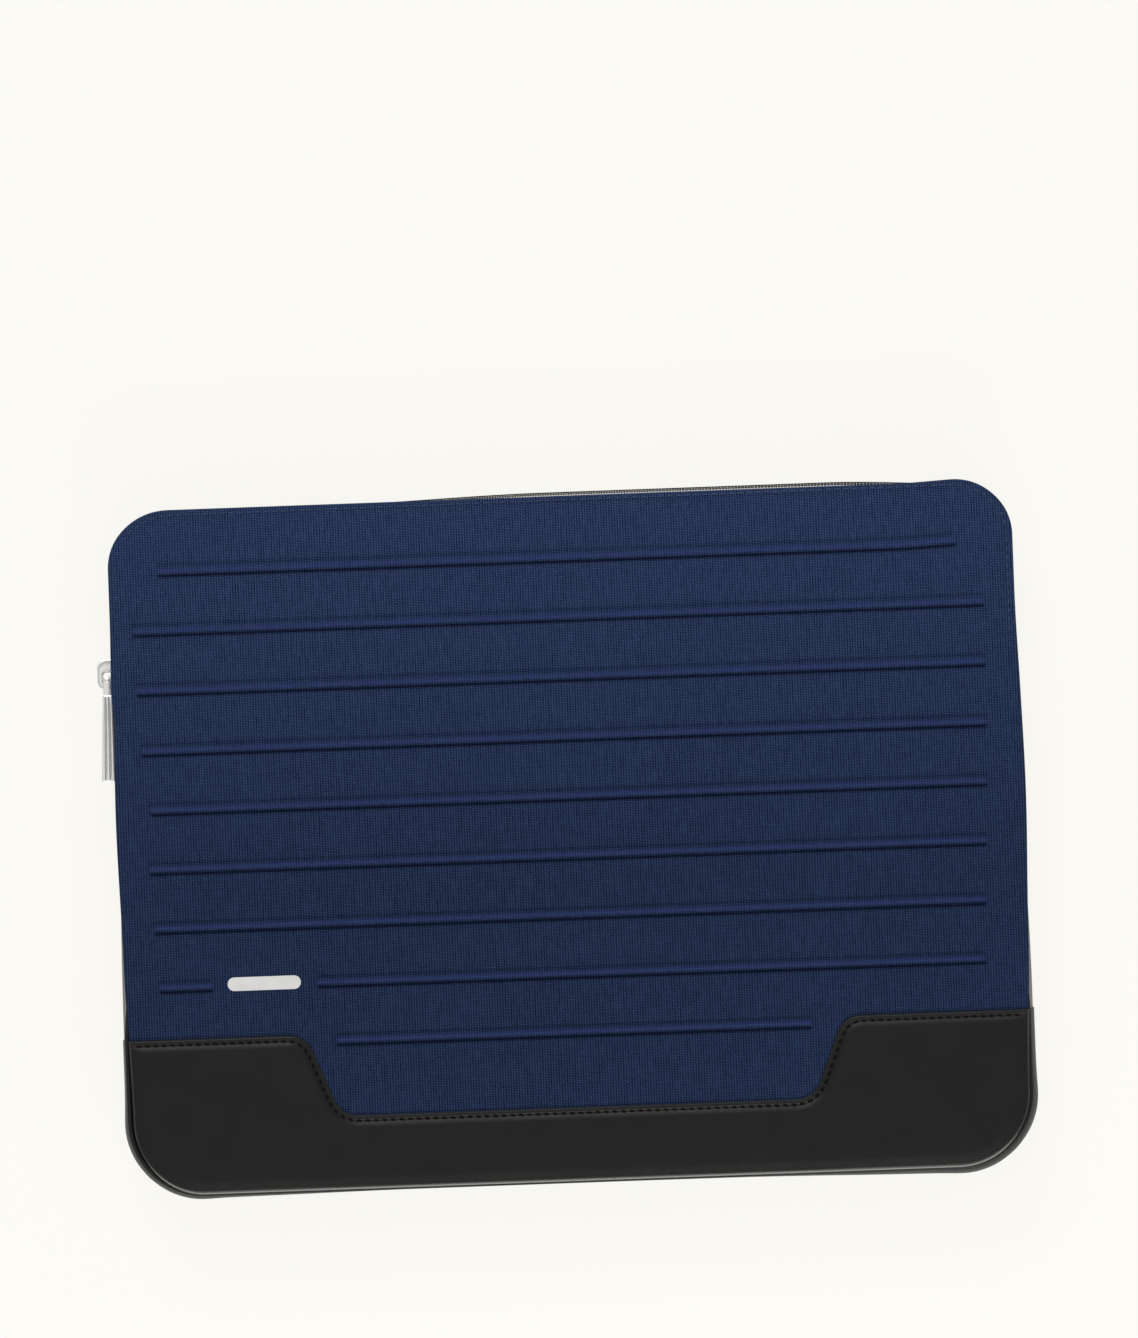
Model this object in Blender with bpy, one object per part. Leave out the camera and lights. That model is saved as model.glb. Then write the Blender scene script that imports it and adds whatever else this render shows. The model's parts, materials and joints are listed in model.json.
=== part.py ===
"""Padded laptop sleeve with a zip round its mouth, lying on its back.

X runs across the sleeve, Y from its bottom edge to its mouth, and Z up through its thickness.
The origin is the centre of the back face. All sizes are in metres.
"""
import math

import bpy
from mathutils import Vector

# --- driving dimensions -------------------------------------------------------------------
PANEL_WIDTH = 0.370
PANEL_HEIGHT = 0.281
THICKNESS = 0.026
TOP_RADIUS = 0.0245
BOTTOM_RADIUS = 0.032
ARC_STEPS = 10

GAP = 0.0003            # room between pieces that touch
CANVAS = 0.0009
FOAM = 0.0030
LINING = 0.0006
LEATHER = 0.0018        # front trim, which stands proud of the canvas
LINER_INSET = 0.0030    # foam and lining end this far inside the panel's edge

BEND_Y = 0.0815         # where the front panel folds when the mouth opens
ZIP_END_Y = 0.064       # both ends of the zip

# leather trim: two shoulders, and a low middle between sloping sides
SHOULDER_Y = -0.0766
LOW_Y = -0.1102
SLOPE_TOP_X = 0.1102
SLOPE_LOW_X = 0.0968
NOTCH_MIDDLE_X = -0.0012
SLOPE_RADIUS = 0.011
SEAM = 0.0004

# ribs on the front panel
RIB_COUNT = 9
RIB_TOP_Y = 0.1152
RIB_PITCH = 0.0243
RIB_WIDTH = 0.0030
RIB_HEIGHT = 0.0011
RIB_HALF_LENGTH = 0.1735
RIB_TAPER = 0.0008      # each rib's end is this much shorter than the one above
TOP_RIB_HALF_LENGTH = 0.1630
LOW_RIB_HALF_LENGTH = 0.0970
RIB_MIDDLE_X = -0.0017  # the ribs sit a little towards the slider's side
PLATE_RIB = 8           # the rib that is interrupted by the plate
RIB_STUB_END_X = -0.1495
RIB_RESUME_X = -0.1055

PLATE_LENGTH = 0.0300
PLATE_WIDTH = 0.0056
PLATE_HEIGHT = 0.0010
PLATE_X = -0.1277
PLATE_Y = -0.0547

# side walls between the two panels
GUSSET = 0.0012
BULGE = 0.0022          # how far the gusset swells at its middle
BULGE_TOP_Y = 0.040     # above this the gusset is flat
BULGE_FULL_Y = -0.070
LINER_STRIP = 0.0005
PIPING_RADIUS = 0.0006
PIPING_OFFSET = 0.0010

# zip, given as distances from the panel's edge (negative is inside) and through the thickness
TAPE_OUT = -0.0020
TAPE = 0.0006
COIL_OUT = -0.0003
COIL = 0.0014
COIL_WIDTH = 0.0015
ZIP_HALF_GAP = 0.0006   # the two rows stand this far from the middle, so the slider's web passes
STOP_LENGTH = 0.0020
STOP_Y = 0.0690

# slider, on the left wall
SLIDER_LENGTH = 0.0130
SLIDER_WIDTH = 0.0085
SLIDER_Y = 0.0740
OUTER_PLATE_IN = 0.0
OUTER_PLATE_OUT = 0.0014
INNER_PLATE_IN = -0.0040
INNER_PLATE_OUT = -0.0029
WEB_WIDTH = 0.0006
WEB_LENGTH = 0.0030
BRIDGE_WIDTH = 0.0028
BRIDGE_HEIGHT = 0.0060
BRIDGE_LENGTH = 0.0120
BRIDGE_LEG = 0.0018
BRIDGE_NOSE = 0.0046      # the leg towards the mouth is the thicker one
BRIDGE_ROOF = 0.0015

# puller, which hangs on a pin through the bridge
PIN_RADIUS = 0.0008
PIN_OFFSET = 0.0033
PIN_Y = 0.0717
PULLER_END_Y = 0.0297
PULLER_TOP_Y = 0.0657
PULLER_BACK = 0.0011        # the bar widens outwards from its top to its end
PULLER_FACE_TOP = 0.0054
PULLER_FACE_END = 0.0070
PULLER_WIDTH = 0.0064
GROOVE_COUNT = 2
GROOVE_WIDTH = 0.0008
GROOVE_DEPTH = 0.0004
EAR_THICKNESS = 0.0012
EAR_RADIUS = 0.0017

# --- sizes that follow from these ------------------------------------------------------------
HALF_WIDTH = PANEL_WIDTH / 2
HALF_HEIGHT = PANEL_HEIGHT / 2
MIDDLE_Z = THICKNESS / 2
FRONT_CANVAS_Z = THICKNESS - CANVAS
FRONT_FOAM_TOP = FRONT_CANVAS_Z - GAP
FRONT_LINING_TOP = FRONT_FOAM_TOP - FOAM - GAP
BACK_FOAM_LOW = CANVAS + GAP
BACK_LINING_LOW = BACK_FOAM_LOW + FOAM + GAP
WALL_LOW = CANVAS + GAP
WALL_HIGH = FRONT_CANVAS_Z - GAP
FLAP_PIVOT = Vector((0.0, BEND_Y, THICKNESS))
PULLER_PIVOT = Vector((-HALF_WIDTH - PIN_OFFSET, PIN_Y, MIDDLE_Z))


# --- helpers -----------------------------------------------------------------------------------
def clear_scene():
    for old in list(bpy.data.objects):
        bpy.data.objects.remove(old, do_unlink=True)


def make_material(name, colour, roughness, metallic=0.0):
    material = bpy.data.materials.new(name)
    material.use_nodes = True
    shader = material.node_tree.nodes["Principled BSDF"]
    shader.inputs["Base Color"].default_value = (*colour, 1.0)
    shader.inputs["Roughness"].default_value = roughness
    shader.inputs["Metallic"].default_value = metallic
    material.diffuse_color = (*colour, 1.0)
    return material


def add_object(name, points, faces, material, origin=(0.0, 0.0, 0.0), smooth=False):
    """A mesh object whose points are given in world coordinates and whose origin is chosen."""
    base = Vector(origin)
    mesh = bpy.data.meshes.new(name)
    mesh.from_pydata([Vector(point) - base for point in points], [], faces)
    mesh.update()
    if smooth:
        mesh.shade_smooth()
        mesh.set_sharp_from_angle(angle=math.radians(35))
    piece = bpy.data.objects.new(name, mesh)
    piece.location = base
    piece.data.materials.append(material)
    bpy.context.collection.objects.link(piece)
    return piece


def stack_rings(name, rings, material, origin=(0.0, 0.0, 0.0), smooth=False):
    """A closed solid through rings of equal length; each ring runs counter-clockwise, low to high."""
    size = len(rings[0])
    points = [point for ring in rings for point in ring]
    faces = [tuple(reversed(range(size)))]
    for level in range(len(rings) - 1):
        low = level * size
        high = low + size
        for corner in range(size):
            following = (corner + 1) % size
            faces.append((low + corner, low + following, high + following, high + corner))
    last = (len(rings) - 1) * size
    faces.append(tuple(last + corner for corner in range(size)))
    return add_object(name, points, faces, material, origin, smooth)


def extrude_outline(name, outline, low, high, material, origin=(0.0, 0.0, 0.0)):
    rings = [[(x, y, z) for x, y in outline] for z in (low, high)]
    return stack_rings(name, rings, material, origin)


def rounded(corners, closed=True, steps=ARC_STEPS):
    """Points of a polygon or open line whose corners (x, y, radius) are replaced by arcs."""
    count = len(corners)
    points = []
    for index, (x, y, radius) in enumerate(corners):
        at_end = not closed and index in (0, count - 1)
        if radius <= 0.0 or at_end:
            points.append((x, y))
            continue
        here = Vector((x, y))
        before = Vector(corners[index - 1][:2]) - here
        after = Vector(corners[(index + 1) % count][:2]) - here
        before.normalize()
        after.normalize()
        half_angle = before.angle(after) / 2
        centre = here + (before + after).normalized() * (radius / math.sin(half_angle))
        start = here + before * (radius / math.tan(half_angle)) - centre
        turn = math.pi - 2 * half_angle
        side = 1.0 if before.cross(after) < 0 else -1.0
        for step in range(steps + 1):
            angle = side * turn * step / steps
            points.append(
                (
                    centre.x + start.x * math.cos(angle) - start.y * math.sin(angle),
                    centre.y + start.x * math.sin(angle) + start.y * math.cos(angle),
                )
            )
    return points


def trim_edge(seam=0.0):
    """Upper edge of the leather from left to right; a seam shifts it into the canvas's side."""
    return [
        (-HALF_WIDTH, SHOULDER_Y + seam, 0.0),
        (NOTCH_MIDDLE_X - SLOPE_TOP_X + seam, SHOULDER_Y + seam, SLOPE_RADIUS),
        (NOTCH_MIDDLE_X - SLOPE_LOW_X + seam, LOW_Y + seam, SLOPE_RADIUS),
        (NOTCH_MIDDLE_X + SLOPE_LOW_X - seam, LOW_Y + seam, SLOPE_RADIUS),
        (NOTCH_MIDDLE_X + SLOPE_TOP_X - seam, SHOULDER_Y + seam, SLOPE_RADIUS),
        (HALF_WIDTH, SHOULDER_Y + seam, 0.0),
    ]


def whole_outline(inset):
    width = HALF_WIDTH - inset
    height = HALF_HEIGHT - inset
    return rounded(
        [
            (-width, -height, BOTTOM_RADIUS - inset),
            (width, -height, BOTTOM_RADIUS - inset),
            (width, height, TOP_RADIUS - inset),
            (-width, height, TOP_RADIUS - inset),
        ]
    )


def upper_outline(inset):
    """The part of the panel above the bend."""
    width = HALF_WIDTH - inset
    height = HALF_HEIGHT - inset
    low = BEND_Y + GAP / 2
    return rounded(
        [
            (-width, low, 0.0),
            (width, low, 0.0),
            (width, height, TOP_RADIUS - inset),
            (-width, height, TOP_RADIUS - inset),
        ]
    )


def lower_outline(inset):
    """The part of the panel below the bend."""
    width = HALF_WIDTH - inset
    height = HALF_HEIGHT - inset
    high = BEND_Y - GAP / 2
    return rounded(
        [
            (-width, -height, BOTTOM_RADIUS - inset),
            (width, -height, BOTTOM_RADIUS - inset),
            (width, high, 0.0),
            (-width, high, 0.0),
        ]
    )


def sweep_wall(name, path, section_at, material, origin=(0.0, 0.0, 0.0), smooth=False):
    """Sweep a section of (distance outside the edge, height) along an anticlockwise edge path."""
    rings = []
    for index, point in enumerate(path):
        here = Vector(point)
        normals = []
        if index > 0:
            step = (here - Vector(path[index - 1])).normalized()
            normals.append(Vector((step.y, -step.x)))
        if index < len(path) - 1:
            step = (Vector(path[index + 1]) - here).normalized()
            normals.append(Vector((step.y, -step.x)))
        outward = sum(normals, Vector((0.0, 0.0))).normalized()
        outward /= outward.dot(normals[0])
        rings.append(
            [
                (here.x + outward.x * out, here.y + outward.y * out, height)
                for out, height in section_at(here.y)
            ]
        )
    return stack_rings(name, rings, material, origin, smooth)


def box_section(out_low, out_high, low, high):
    """A rectangle, in the order that makes a swept wall face outwards."""
    section = [(out_low, low), (out_low, high), (out_high, high), (out_high, low)]
    return lambda y: section


def round_section(out, height, radius, sides=8):
    section = []
    for side in range(sides):
        angle = -2 * math.pi * side / sides
        section.append((out + radius * math.cos(angle), height + radius * math.sin(angle)))
    return lambda y: section


def bulge_at(y):
    """How far the gusset swells at this height: nothing near the zip, fully at the bottom."""
    share = (BULGE_TOP_Y - y) / (BULGE_TOP_Y - BULGE_FULL_Y)
    share = min(max(share, 0.0), 1.0)
    return BULGE * share * share * (3 - 2 * share)


def gusset_section(y):
    """A strip that arches outwards between the two panels."""
    steps = 6
    inner = []
    outer = []
    for step in range(steps + 1):
        height = WALL_LOW + (WALL_HIGH - WALL_LOW) * step / steps
        out = bulge_at(y) * math.sin(math.pi * step / steps)
        inner.append((out - GUSSET, height))
        outer.append((out, height))
    return inner + outer[::-1]


def rounded_box(name, x_range, y_range, z_range, radius, material):
    """A block whose outline in the Y-Z plane has rounded corners, extruded along X."""
    corners = [
        (y_range[0], z_range[0], radius),
        (y_range[1], z_range[0], radius),
        (y_range[1], z_range[1], radius),
        (y_range[0], z_range[1], radius),
    ]
    outline = rounded(corners, steps=5)
    rings = [[(x, y, z) for y, z in outline] for x in x_range]
    return stack_rings(name, rings, material)


def join_solids(piece, extras):
    """Unite helper solids with a piece by exact Booleans; the helpers stay hidden."""
    for extra in extras:
        extra.hide_render = True
        extra.display_type = "WIRE"
        union = piece.modifiers.new("join " + extra.name, "BOOLEAN")
        union.operation = "UNION"
        union.solver = "EXACT"
        union.object = extra


def move_origin(piece, origin):
    """Put a finished object's origin on its joint's axis, leaving its points where they are."""
    shift = Vector(origin) - piece.location
    for vertex in piece.data.vertices:
        vertex.co -= shift
    piece.location = Vector(origin)


# --- materials -----------------------------------------------------------------------------------
def make_materials():
    return {
        "canvas": make_material("navy canvas", (0.019, 0.032, 0.080), 0.85),
        "leather": make_material("black leather", (0.017, 0.017, 0.017), 0.45),
        "gusset": make_material("grey gusset webbing", (0.150, 0.145, 0.138), 0.80),
        "piping": make_material("black piping", (0.010, 0.010, 0.010), 0.45),
        "foam": make_material("grey foam", (0.120, 0.120, 0.125), 0.95),
        "lining": make_material("dark lining", (0.020, 0.022, 0.030), 0.90),
        "tape": make_material("grey zip tape", (0.220, 0.215, 0.225), 0.85),
        "coil": make_material("black zip coil", (0.015, 0.015, 0.016), 0.35),
        "metal": make_material("polished nickel", (0.720, 0.720, 0.710), 0.22, 1.0),
        "plate": make_material("satin steel plate", (0.780, 0.780, 0.780), 0.30, 1.0),
    }


# --- sub-parts -----------------------------------------------------------------------------------
def make_back(materials):
    canvas = trim_edge(SEAM) + [
        (HALF_WIDTH, HALF_HEIGHT, TOP_RADIUS),
        (-HALF_WIDTH, HALF_HEIGHT, TOP_RADIUS),
    ]
    extrude_outline("back_canvas", rounded(canvas), 0.0, CANVAS, materials["canvas"])
    leather = leather_outline()
    extrude_outline("back_leather_trim", leather, 0.0, CANVAS, materials["leather"])
    inner = whole_outline(LINER_INSET)
    foam_top = BACK_FOAM_LOW + FOAM
    extrude_outline("back_foam", inner, BACK_FOAM_LOW, foam_top, materials["foam"])
    lining_top = BACK_LINING_LOW + LINING
    extrude_outline("back_lining", inner, BACK_LINING_LOW, lining_top, materials["lining"])


def leather_outline():
    bottom = [(-HALF_WIDTH, -HALF_HEIGHT, BOTTOM_RADIUS), (HALF_WIDTH, -HALF_HEIGHT, BOTTOM_RADIUS)]
    return rounded(bottom + trim_edge()[::-1])


def make_front_lower(materials):
    high = BEND_Y - GAP / 2
    canvas = trim_edge(SEAM) + [(HALF_WIDTH, high, 0.0), (-HALF_WIDTH, high, 0.0)]
    top = THICKNESS
    extrude_outline("front_canvas_lower", rounded(canvas), FRONT_CANVAS_Z, top, materials["canvas"])
    leather_top = FRONT_CANVAS_Z + LEATHER
    leather = leather_outline()
    extrude_outline("front_leather_trim", leather, FRONT_CANVAS_Z, leather_top, materials["leather"])
    inner = lower_outline(LINER_INSET)
    foam_low = FRONT_FOAM_TOP - FOAM
    extrude_outline("front_foam_lower", inner, foam_low, FRONT_FOAM_TOP, materials["foam"])
    lining_low = FRONT_LINING_TOP - LINING
    extrude_outline("front_lining_lower", inner, lining_low, FRONT_LINING_TOP, materials["lining"])


def make_flap(materials):
    """The front panel's upper part, which folds about the bend."""
    canvas = upper_outline(0.0)
    inner = upper_outline(LINER_INSET)
    layers = [
        ("front_canvas_upper", canvas, FRONT_CANVAS_Z, THICKNESS, "canvas"),
        ("front_foam_upper", inner, FRONT_FOAM_TOP - FOAM, FRONT_FOAM_TOP, "foam"),
        ("front_lining_upper", inner, FRONT_LINING_TOP - LINING, FRONT_LINING_TOP, "lining"),
    ]
    for name, outline, low, high, kind in layers:
        extrude_outline(name, outline, low, high, materials[kind], FLAP_PIVOT)


def make_rib(name, start_x, end_x, y, material, origin=(0.0, 0.0, 0.0)):
    """A low rounded bar with round ends, lying on the canvas."""
    base = THICKNESS + GAP
    rings = []
    for rise in (0, 30, 55, 78):
        radius = RIB_WIDTH / 2 * math.cos(math.radians(rise))
        height = base + RIB_HEIGHT * math.sin(math.radians(rise))
        ring = []
        for centre_x, first in ((end_x - RIB_WIDTH / 2, -90), (start_x + RIB_WIDTH / 2, 90)):
            for step in range(7):
                angle = math.radians(first + 30 * step)
                ring.append((centre_x + radius * math.cos(angle), y + radius * math.sin(angle), height))
        rings.append(ring)
    return stack_rings(name, rings, material, origin, smooth=True)


def make_ribs(materials):
    canvas = materials["canvas"]
    for number in range(1, RIB_COUNT + 1):
        y = RIB_TOP_Y - RIB_PITCH * (number - 1)
        half = RIB_HALF_LENGTH - RIB_TAPER * (number - 2)
        if number == 1:
            half = TOP_RIB_HALF_LENGTH
        if number == RIB_COUNT:
            half = LOW_RIB_HALF_LENGTH
        origin = FLAP_PIVOT if y > BEND_Y else (0.0, 0.0, 0.0)
        if number == PLATE_RIB:
            make_rib("rib_8_stub", RIB_MIDDLE_X - half, RIB_STUB_END_X, y, canvas)
            make_rib("rib_8", RIB_RESUME_X, RIB_MIDDLE_X + half, y, canvas)
        else:
            make_rib("rib_" + str(number), RIB_MIDDLE_X - half, RIB_MIDDLE_X + half, y, canvas, origin)


def make_name_plate(materials):
    half_x = PLATE_LENGTH / 2
    half_y = PLATE_WIDTH / 2
    corner = half_y * 0.98
    outline = rounded(
        [
            (PLATE_X - half_x, PLATE_Y - half_y, corner),
            (PLATE_X + half_x, PLATE_Y - half_y, corner),
            (PLATE_X + half_x, PLATE_Y + half_y, corner),
            (PLATE_X - half_x, PLATE_Y + half_y, corner),
        ]
    )
    base = THICKNESS + GAP
    extrude_outline("blank_plate", outline, base, base + PLATE_HEIGHT, materials["plate"])


def edge_path(left_y, right_y):
    """The panel's edge from the left side down, along the bottom and up the right side."""
    return rounded(
        [
            (-HALF_WIDTH, left_y, 0.0),
            (-HALF_WIDTH, -HALF_HEIGHT, BOTTOM_RADIUS),
            (HALF_WIDTH, -HALF_HEIGHT, BOTTOM_RADIUS),
            (HALF_WIDTH, right_y, 0.0),
        ],
        closed=False,
    )


def mouth_path(right_y, left_y):
    """The panel's edge from the right side up, along the top and down the left side."""
    return rounded(
        [
            (HALF_WIDTH, right_y, 0.0),
            (HALF_WIDTH, HALF_HEIGHT, TOP_RADIUS),
            (-HALF_WIDTH, HALF_HEIGHT, TOP_RADIUS),
            (-HALF_WIDTH, left_y, 0.0),
        ],
        closed=False,
    )


def make_gussets(materials):
    high = ZIP_END_Y - GAP / 2
    low = SHOULDER_Y + GAP / 2
    steps = 8
    heights = [high + (low - high) * step / steps for step in range(steps + 1)]
    left = [(-HALF_WIDTH, y) for y in heights]
    right = [(HALF_WIDTH, y) for y in reversed(heights)]
    sweep_wall("side_gusset_left", left, gusset_section, materials["gusset"], smooth=True)
    sweep_wall("side_gusset_right", right, gusset_section, materials["gusset"], smooth=True)
    leather_top = SHOULDER_Y - GAP / 2
    around = edge_path(leather_top, leather_top)
    sweep_wall("bottom_gusset", around, gusset_section, materials["leather"], smooth=True)
    strip_out = -GUSSET - GAP
    strip_low = BACK_LINING_LOW + LINING + GAP
    strip_high = FRONT_LINING_TOP - LINING - GAP
    strip = box_section(strip_out - LINER_STRIP, strip_out, strip_low, strip_high)
    sweep_wall("gusset_lining", edge_path(high, high), strip, materials["lining"])


def make_piping(materials):
    path = edge_path(ZIP_END_Y, ZIP_END_Y)
    low = round_section(PIPING_OFFSET, CANVAS, PIPING_RADIUS)
    high = round_section(PIPING_OFFSET, FRONT_CANVAS_Z, PIPING_RADIUS)
    sweep_wall("back_piping", path, low, materials["piping"], smooth=True)
    sweep_wall("front_piping", path, high, materials["piping"], smooth=True)


def make_zip(materials):
    tape = materials["tape"]
    coil = materials["coil"]
    metal = materials["metal"]
    low_edge = MIDDLE_Z - ZIP_HALF_GAP
    high_edge = MIDDLE_Z + ZIP_HALF_GAP
    tape_in = TAPE_OUT - TAPE
    coil_in = COIL_OUT - COIL
    end = ZIP_END_Y + GAP / 2
    flap_end = BEND_Y + GAP / 2
    fixed_end = BEND_Y - GAP / 2
    back_tape = box_section(tape_in, TAPE_OUT, WALL_LOW, low_edge)
    front_tape = box_section(tape_in, TAPE_OUT, high_edge, WALL_HIGH)
    back_coil = box_section(coil_in, COIL_OUT, low_edge - COIL_WIDTH, low_edge)
    front_coil = box_section(coil_in, COIL_OUT, high_edge, high_edge + COIL_WIDTH)
    sweep_wall("zip_tape_back", mouth_path(end, end), back_tape, tape)
    sweep_wall("zip_tape_front", mouth_path(flap_end, flap_end), front_tape, tape, FLAP_PIVOT)
    left_end = [(-HALF_WIDTH, fixed_end), (-HALF_WIDTH, end)]
    right_end = [(HALF_WIDTH, end), (HALF_WIDTH, fixed_end)]
    sweep_wall("zip_tape_front_end_left", left_end, front_tape, tape)
    sweep_wall("zip_tape_front_end_right", right_end, front_tape, tape)
    coil_start = STOP_Y + STOP_LENGTH + GAP
    sweep_wall("zip_coil_back", mouth_path(coil_start, coil_start), back_coil, coil)
    sweep_wall("zip_coil_front", mouth_path(flap_end, flap_end), front_coil, coil, FLAP_PIVOT)
    stop_top = STOP_Y + STOP_LENGTH
    left_stop = [(-HALF_WIDTH, stop_top), (-HALF_WIDTH, STOP_Y)]
    right_stop = [(HALF_WIDTH, STOP_Y), (HALF_WIDTH, stop_top)]
    both_rows = box_section(coil_in, COIL_OUT, low_edge - COIL_WIDTH, high_edge + COIL_WIDTH)
    sweep_wall("zip_top_stop_back", left_stop, back_coil, metal)
    sweep_wall("zip_top_stop_front", left_stop, front_coil, metal)
    sweep_wall("zip_bottom_stop", right_stop, both_rows, metal)


def outward_x(distance):
    """X of a point this far outside the left edge."""
    return -HALF_WIDTH - distance


def make_slider(materials):
    metal = materials["metal"]
    y_range = (SLIDER_Y - SLIDER_LENGTH / 2, SLIDER_Y + SLIDER_LENGTH / 2)
    z_range = (MIDDLE_Z - SLIDER_WIDTH / 2, MIDDLE_Z + SLIDER_WIDTH / 2)
    corner = 0.0025
    sink = 0.0002
    outer_x = (outward_x(OUTER_PLATE_OUT), outward_x(OUTER_PLATE_IN))
    inner_x = (outward_x(INNER_PLATE_OUT), outward_x(INNER_PLATE_IN))
    slider = rounded_box("zip_slider", outer_x, y_range, z_range, corner, metal)
    inner = rounded_box("slider_inner_plate", inner_x, y_range, z_range, corner, metal)
    web_x = (outward_x(OUTER_PLATE_IN + sink), outward_x(INNER_PLATE_OUT - sink))
    web_y = (y_range[0] + corner / 2, y_range[0] + corner / 2 + WEB_LENGTH)
    web_z = (MIDDLE_Z - WEB_WIDTH / 2, MIDDLE_Z + WEB_WIDTH / 2)
    web = rounded_box("slider_web", web_x, web_y, web_z, WEB_WIDTH * 0.4, metal)
    bridge = make_bridge(metal, OUTER_PLATE_OUT - sink)
    join_solids(slider, [web, inner, bridge])
    return slider


def make_bridge(metal, foot):
    """The arch on the slider's face, with a window for the puller's pin."""
    half = BRIDGE_LENGTH / 2
    top = OUTER_PLATE_OUT + BRIDGE_HEIGHT
    outer = rounded(
        [
            (outward_x(foot), SLIDER_Y - half, 0.0),
            (outward_x(foot), SLIDER_Y + half, 0.0),
            (outward_x(top), SLIDER_Y + half, 0.0040),
            (outward_x(top), SLIDER_Y - half, 0.0030),
        ],
        steps=6,
    )
    window = rounded(
        [
            (outward_x(foot - 0.0004), SLIDER_Y - half + BRIDGE_LEG, 0.0),
            (outward_x(foot - 0.0004), SLIDER_Y + half - BRIDGE_NOSE, 0.0),
            (outward_x(top - BRIDGE_ROOF), SLIDER_Y + half - BRIDGE_NOSE, 0.0016),
            (outward_x(top - BRIDGE_ROOF), SLIDER_Y - half + BRIDGE_LEG, 0.0016),
        ],
        steps=6,
    )
    # an arch drawn as one outline: out along the outer edge, back along the window's edge
    arch = outer[1:] + outer[:1] + window[:1] + window[1:][::-1]
    low = MIDDLE_Z - BRIDGE_WIDTH / 2
    high = MIDDLE_Z + BRIDGE_WIDTH / 2
    arch = orient(arch)
    return extrude_outline("slider_bridge", arch, low, high, metal)


def orient(outline):
    """The same outline, running counter-clockwise."""
    area = 0.0
    for index, (x, y) in enumerate(outline):
        following = outline[(index + 1) % len(outline)]
        area += x * following[1] - following[0] * y
    return outline if area > 0 else outline[::-1]


def puller_section(face_offset):
    """The bar's outline across its length, with grooves on the sides towards front and back."""
    back = outward_x(PULLER_BACK)
    face = outward_x(face_offset)
    half = PULLER_WIDTH / 2
    bevel = 0.0005
    low_side = [(back - bevel, -half)]
    for groove in range(GROOVE_COUNT):
        centre = back + (face - back) * (groove + 1) / (GROOVE_COUNT + 1)
        low_side += [
            (centre + GROOVE_WIDTH / 2, -half),
            (centre + GROOVE_WIDTH / 4, -half + GROOVE_DEPTH),
            (centre - GROOVE_WIDTH / 4, -half + GROOVE_DEPTH),
            (centre - GROOVE_WIDTH / 2, -half),
        ]
    low_side.append((face + bevel, -half))
    high_side = [(x, -across) for x, across in reversed(low_side)]
    outline = [(back, -half + bevel)] + low_side
    outline += [(face, -half + bevel), (face, half - bevel)]
    outline += high_side + [(back, half - bevel)]
    return [(x, MIDDLE_Z + across) for x, across in outline]


def make_puller(materials):
    metal = materials["metal"]
    rings = []
    for y, face_offset in ((PULLER_TOP_Y, PULLER_FACE_TOP), (PULLER_END_Y, PULLER_FACE_END)):
        rings.append([(x, y, z) for x, z in puller_section(face_offset)])
    bar = stack_rings("zip_puller", rings, metal)
    extras = []
    pivot_x = outward_x(PIN_OFFSET)
    ear_gap = BRIDGE_WIDTH / 2 + GAP
    for side, sign in (("low", -1), ("high", 1)):
        start = MIDDLE_Z + sign * ear_gap
        stop = start + sign * EAR_THICKNESS
        outline = [(pivot_x - EAR_RADIUS, PULLER_TOP_Y - 0.002), (pivot_x + EAR_RADIUS, PULLER_TOP_Y - 0.002)]
        for step in range(9):
            angle = math.pi * step / 8
            x = pivot_x + EAR_RADIUS * math.cos(angle)
            outline.append((x, PIN_Y + EAR_RADIUS * math.sin(angle)))
        ear = extrude_outline("puller_ear_" + side, outline, min(start, stop), max(start, stop), metal)
        extras.append(ear)
    circle = []
    for step in range(14):
        angle = 2 * math.pi * step / 14
        circle.append((pivot_x + PIN_RADIUS * math.cos(angle), PIN_Y + PIN_RADIUS * math.sin(angle)))
    reach = ear_gap + EAR_THICKNESS / 2
    pin = extrude_outline("puller_pin", circle, MIDDLE_Z - reach, MIDDLE_Z + reach, metal)
    extras.append(pin)
    join_solids(bar, extras)
    move_origin(bar, PULLER_PIVOT)
    return bar


def make_sleeve():
    clear_scene()
    materials = make_materials()
    make_back(materials)
    make_front_lower(materials)
    make_flap(materials)
    make_ribs(materials)
    make_name_plate(materials)
    make_gussets(materials)
    make_piping(materials)
    make_zip(materials)
    make_slider(materials)
    make_puller(materials)


make_sleeve()
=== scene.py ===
import json
import math

import bmesh
import bpy
import numpy as np
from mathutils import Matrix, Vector, noise


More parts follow.
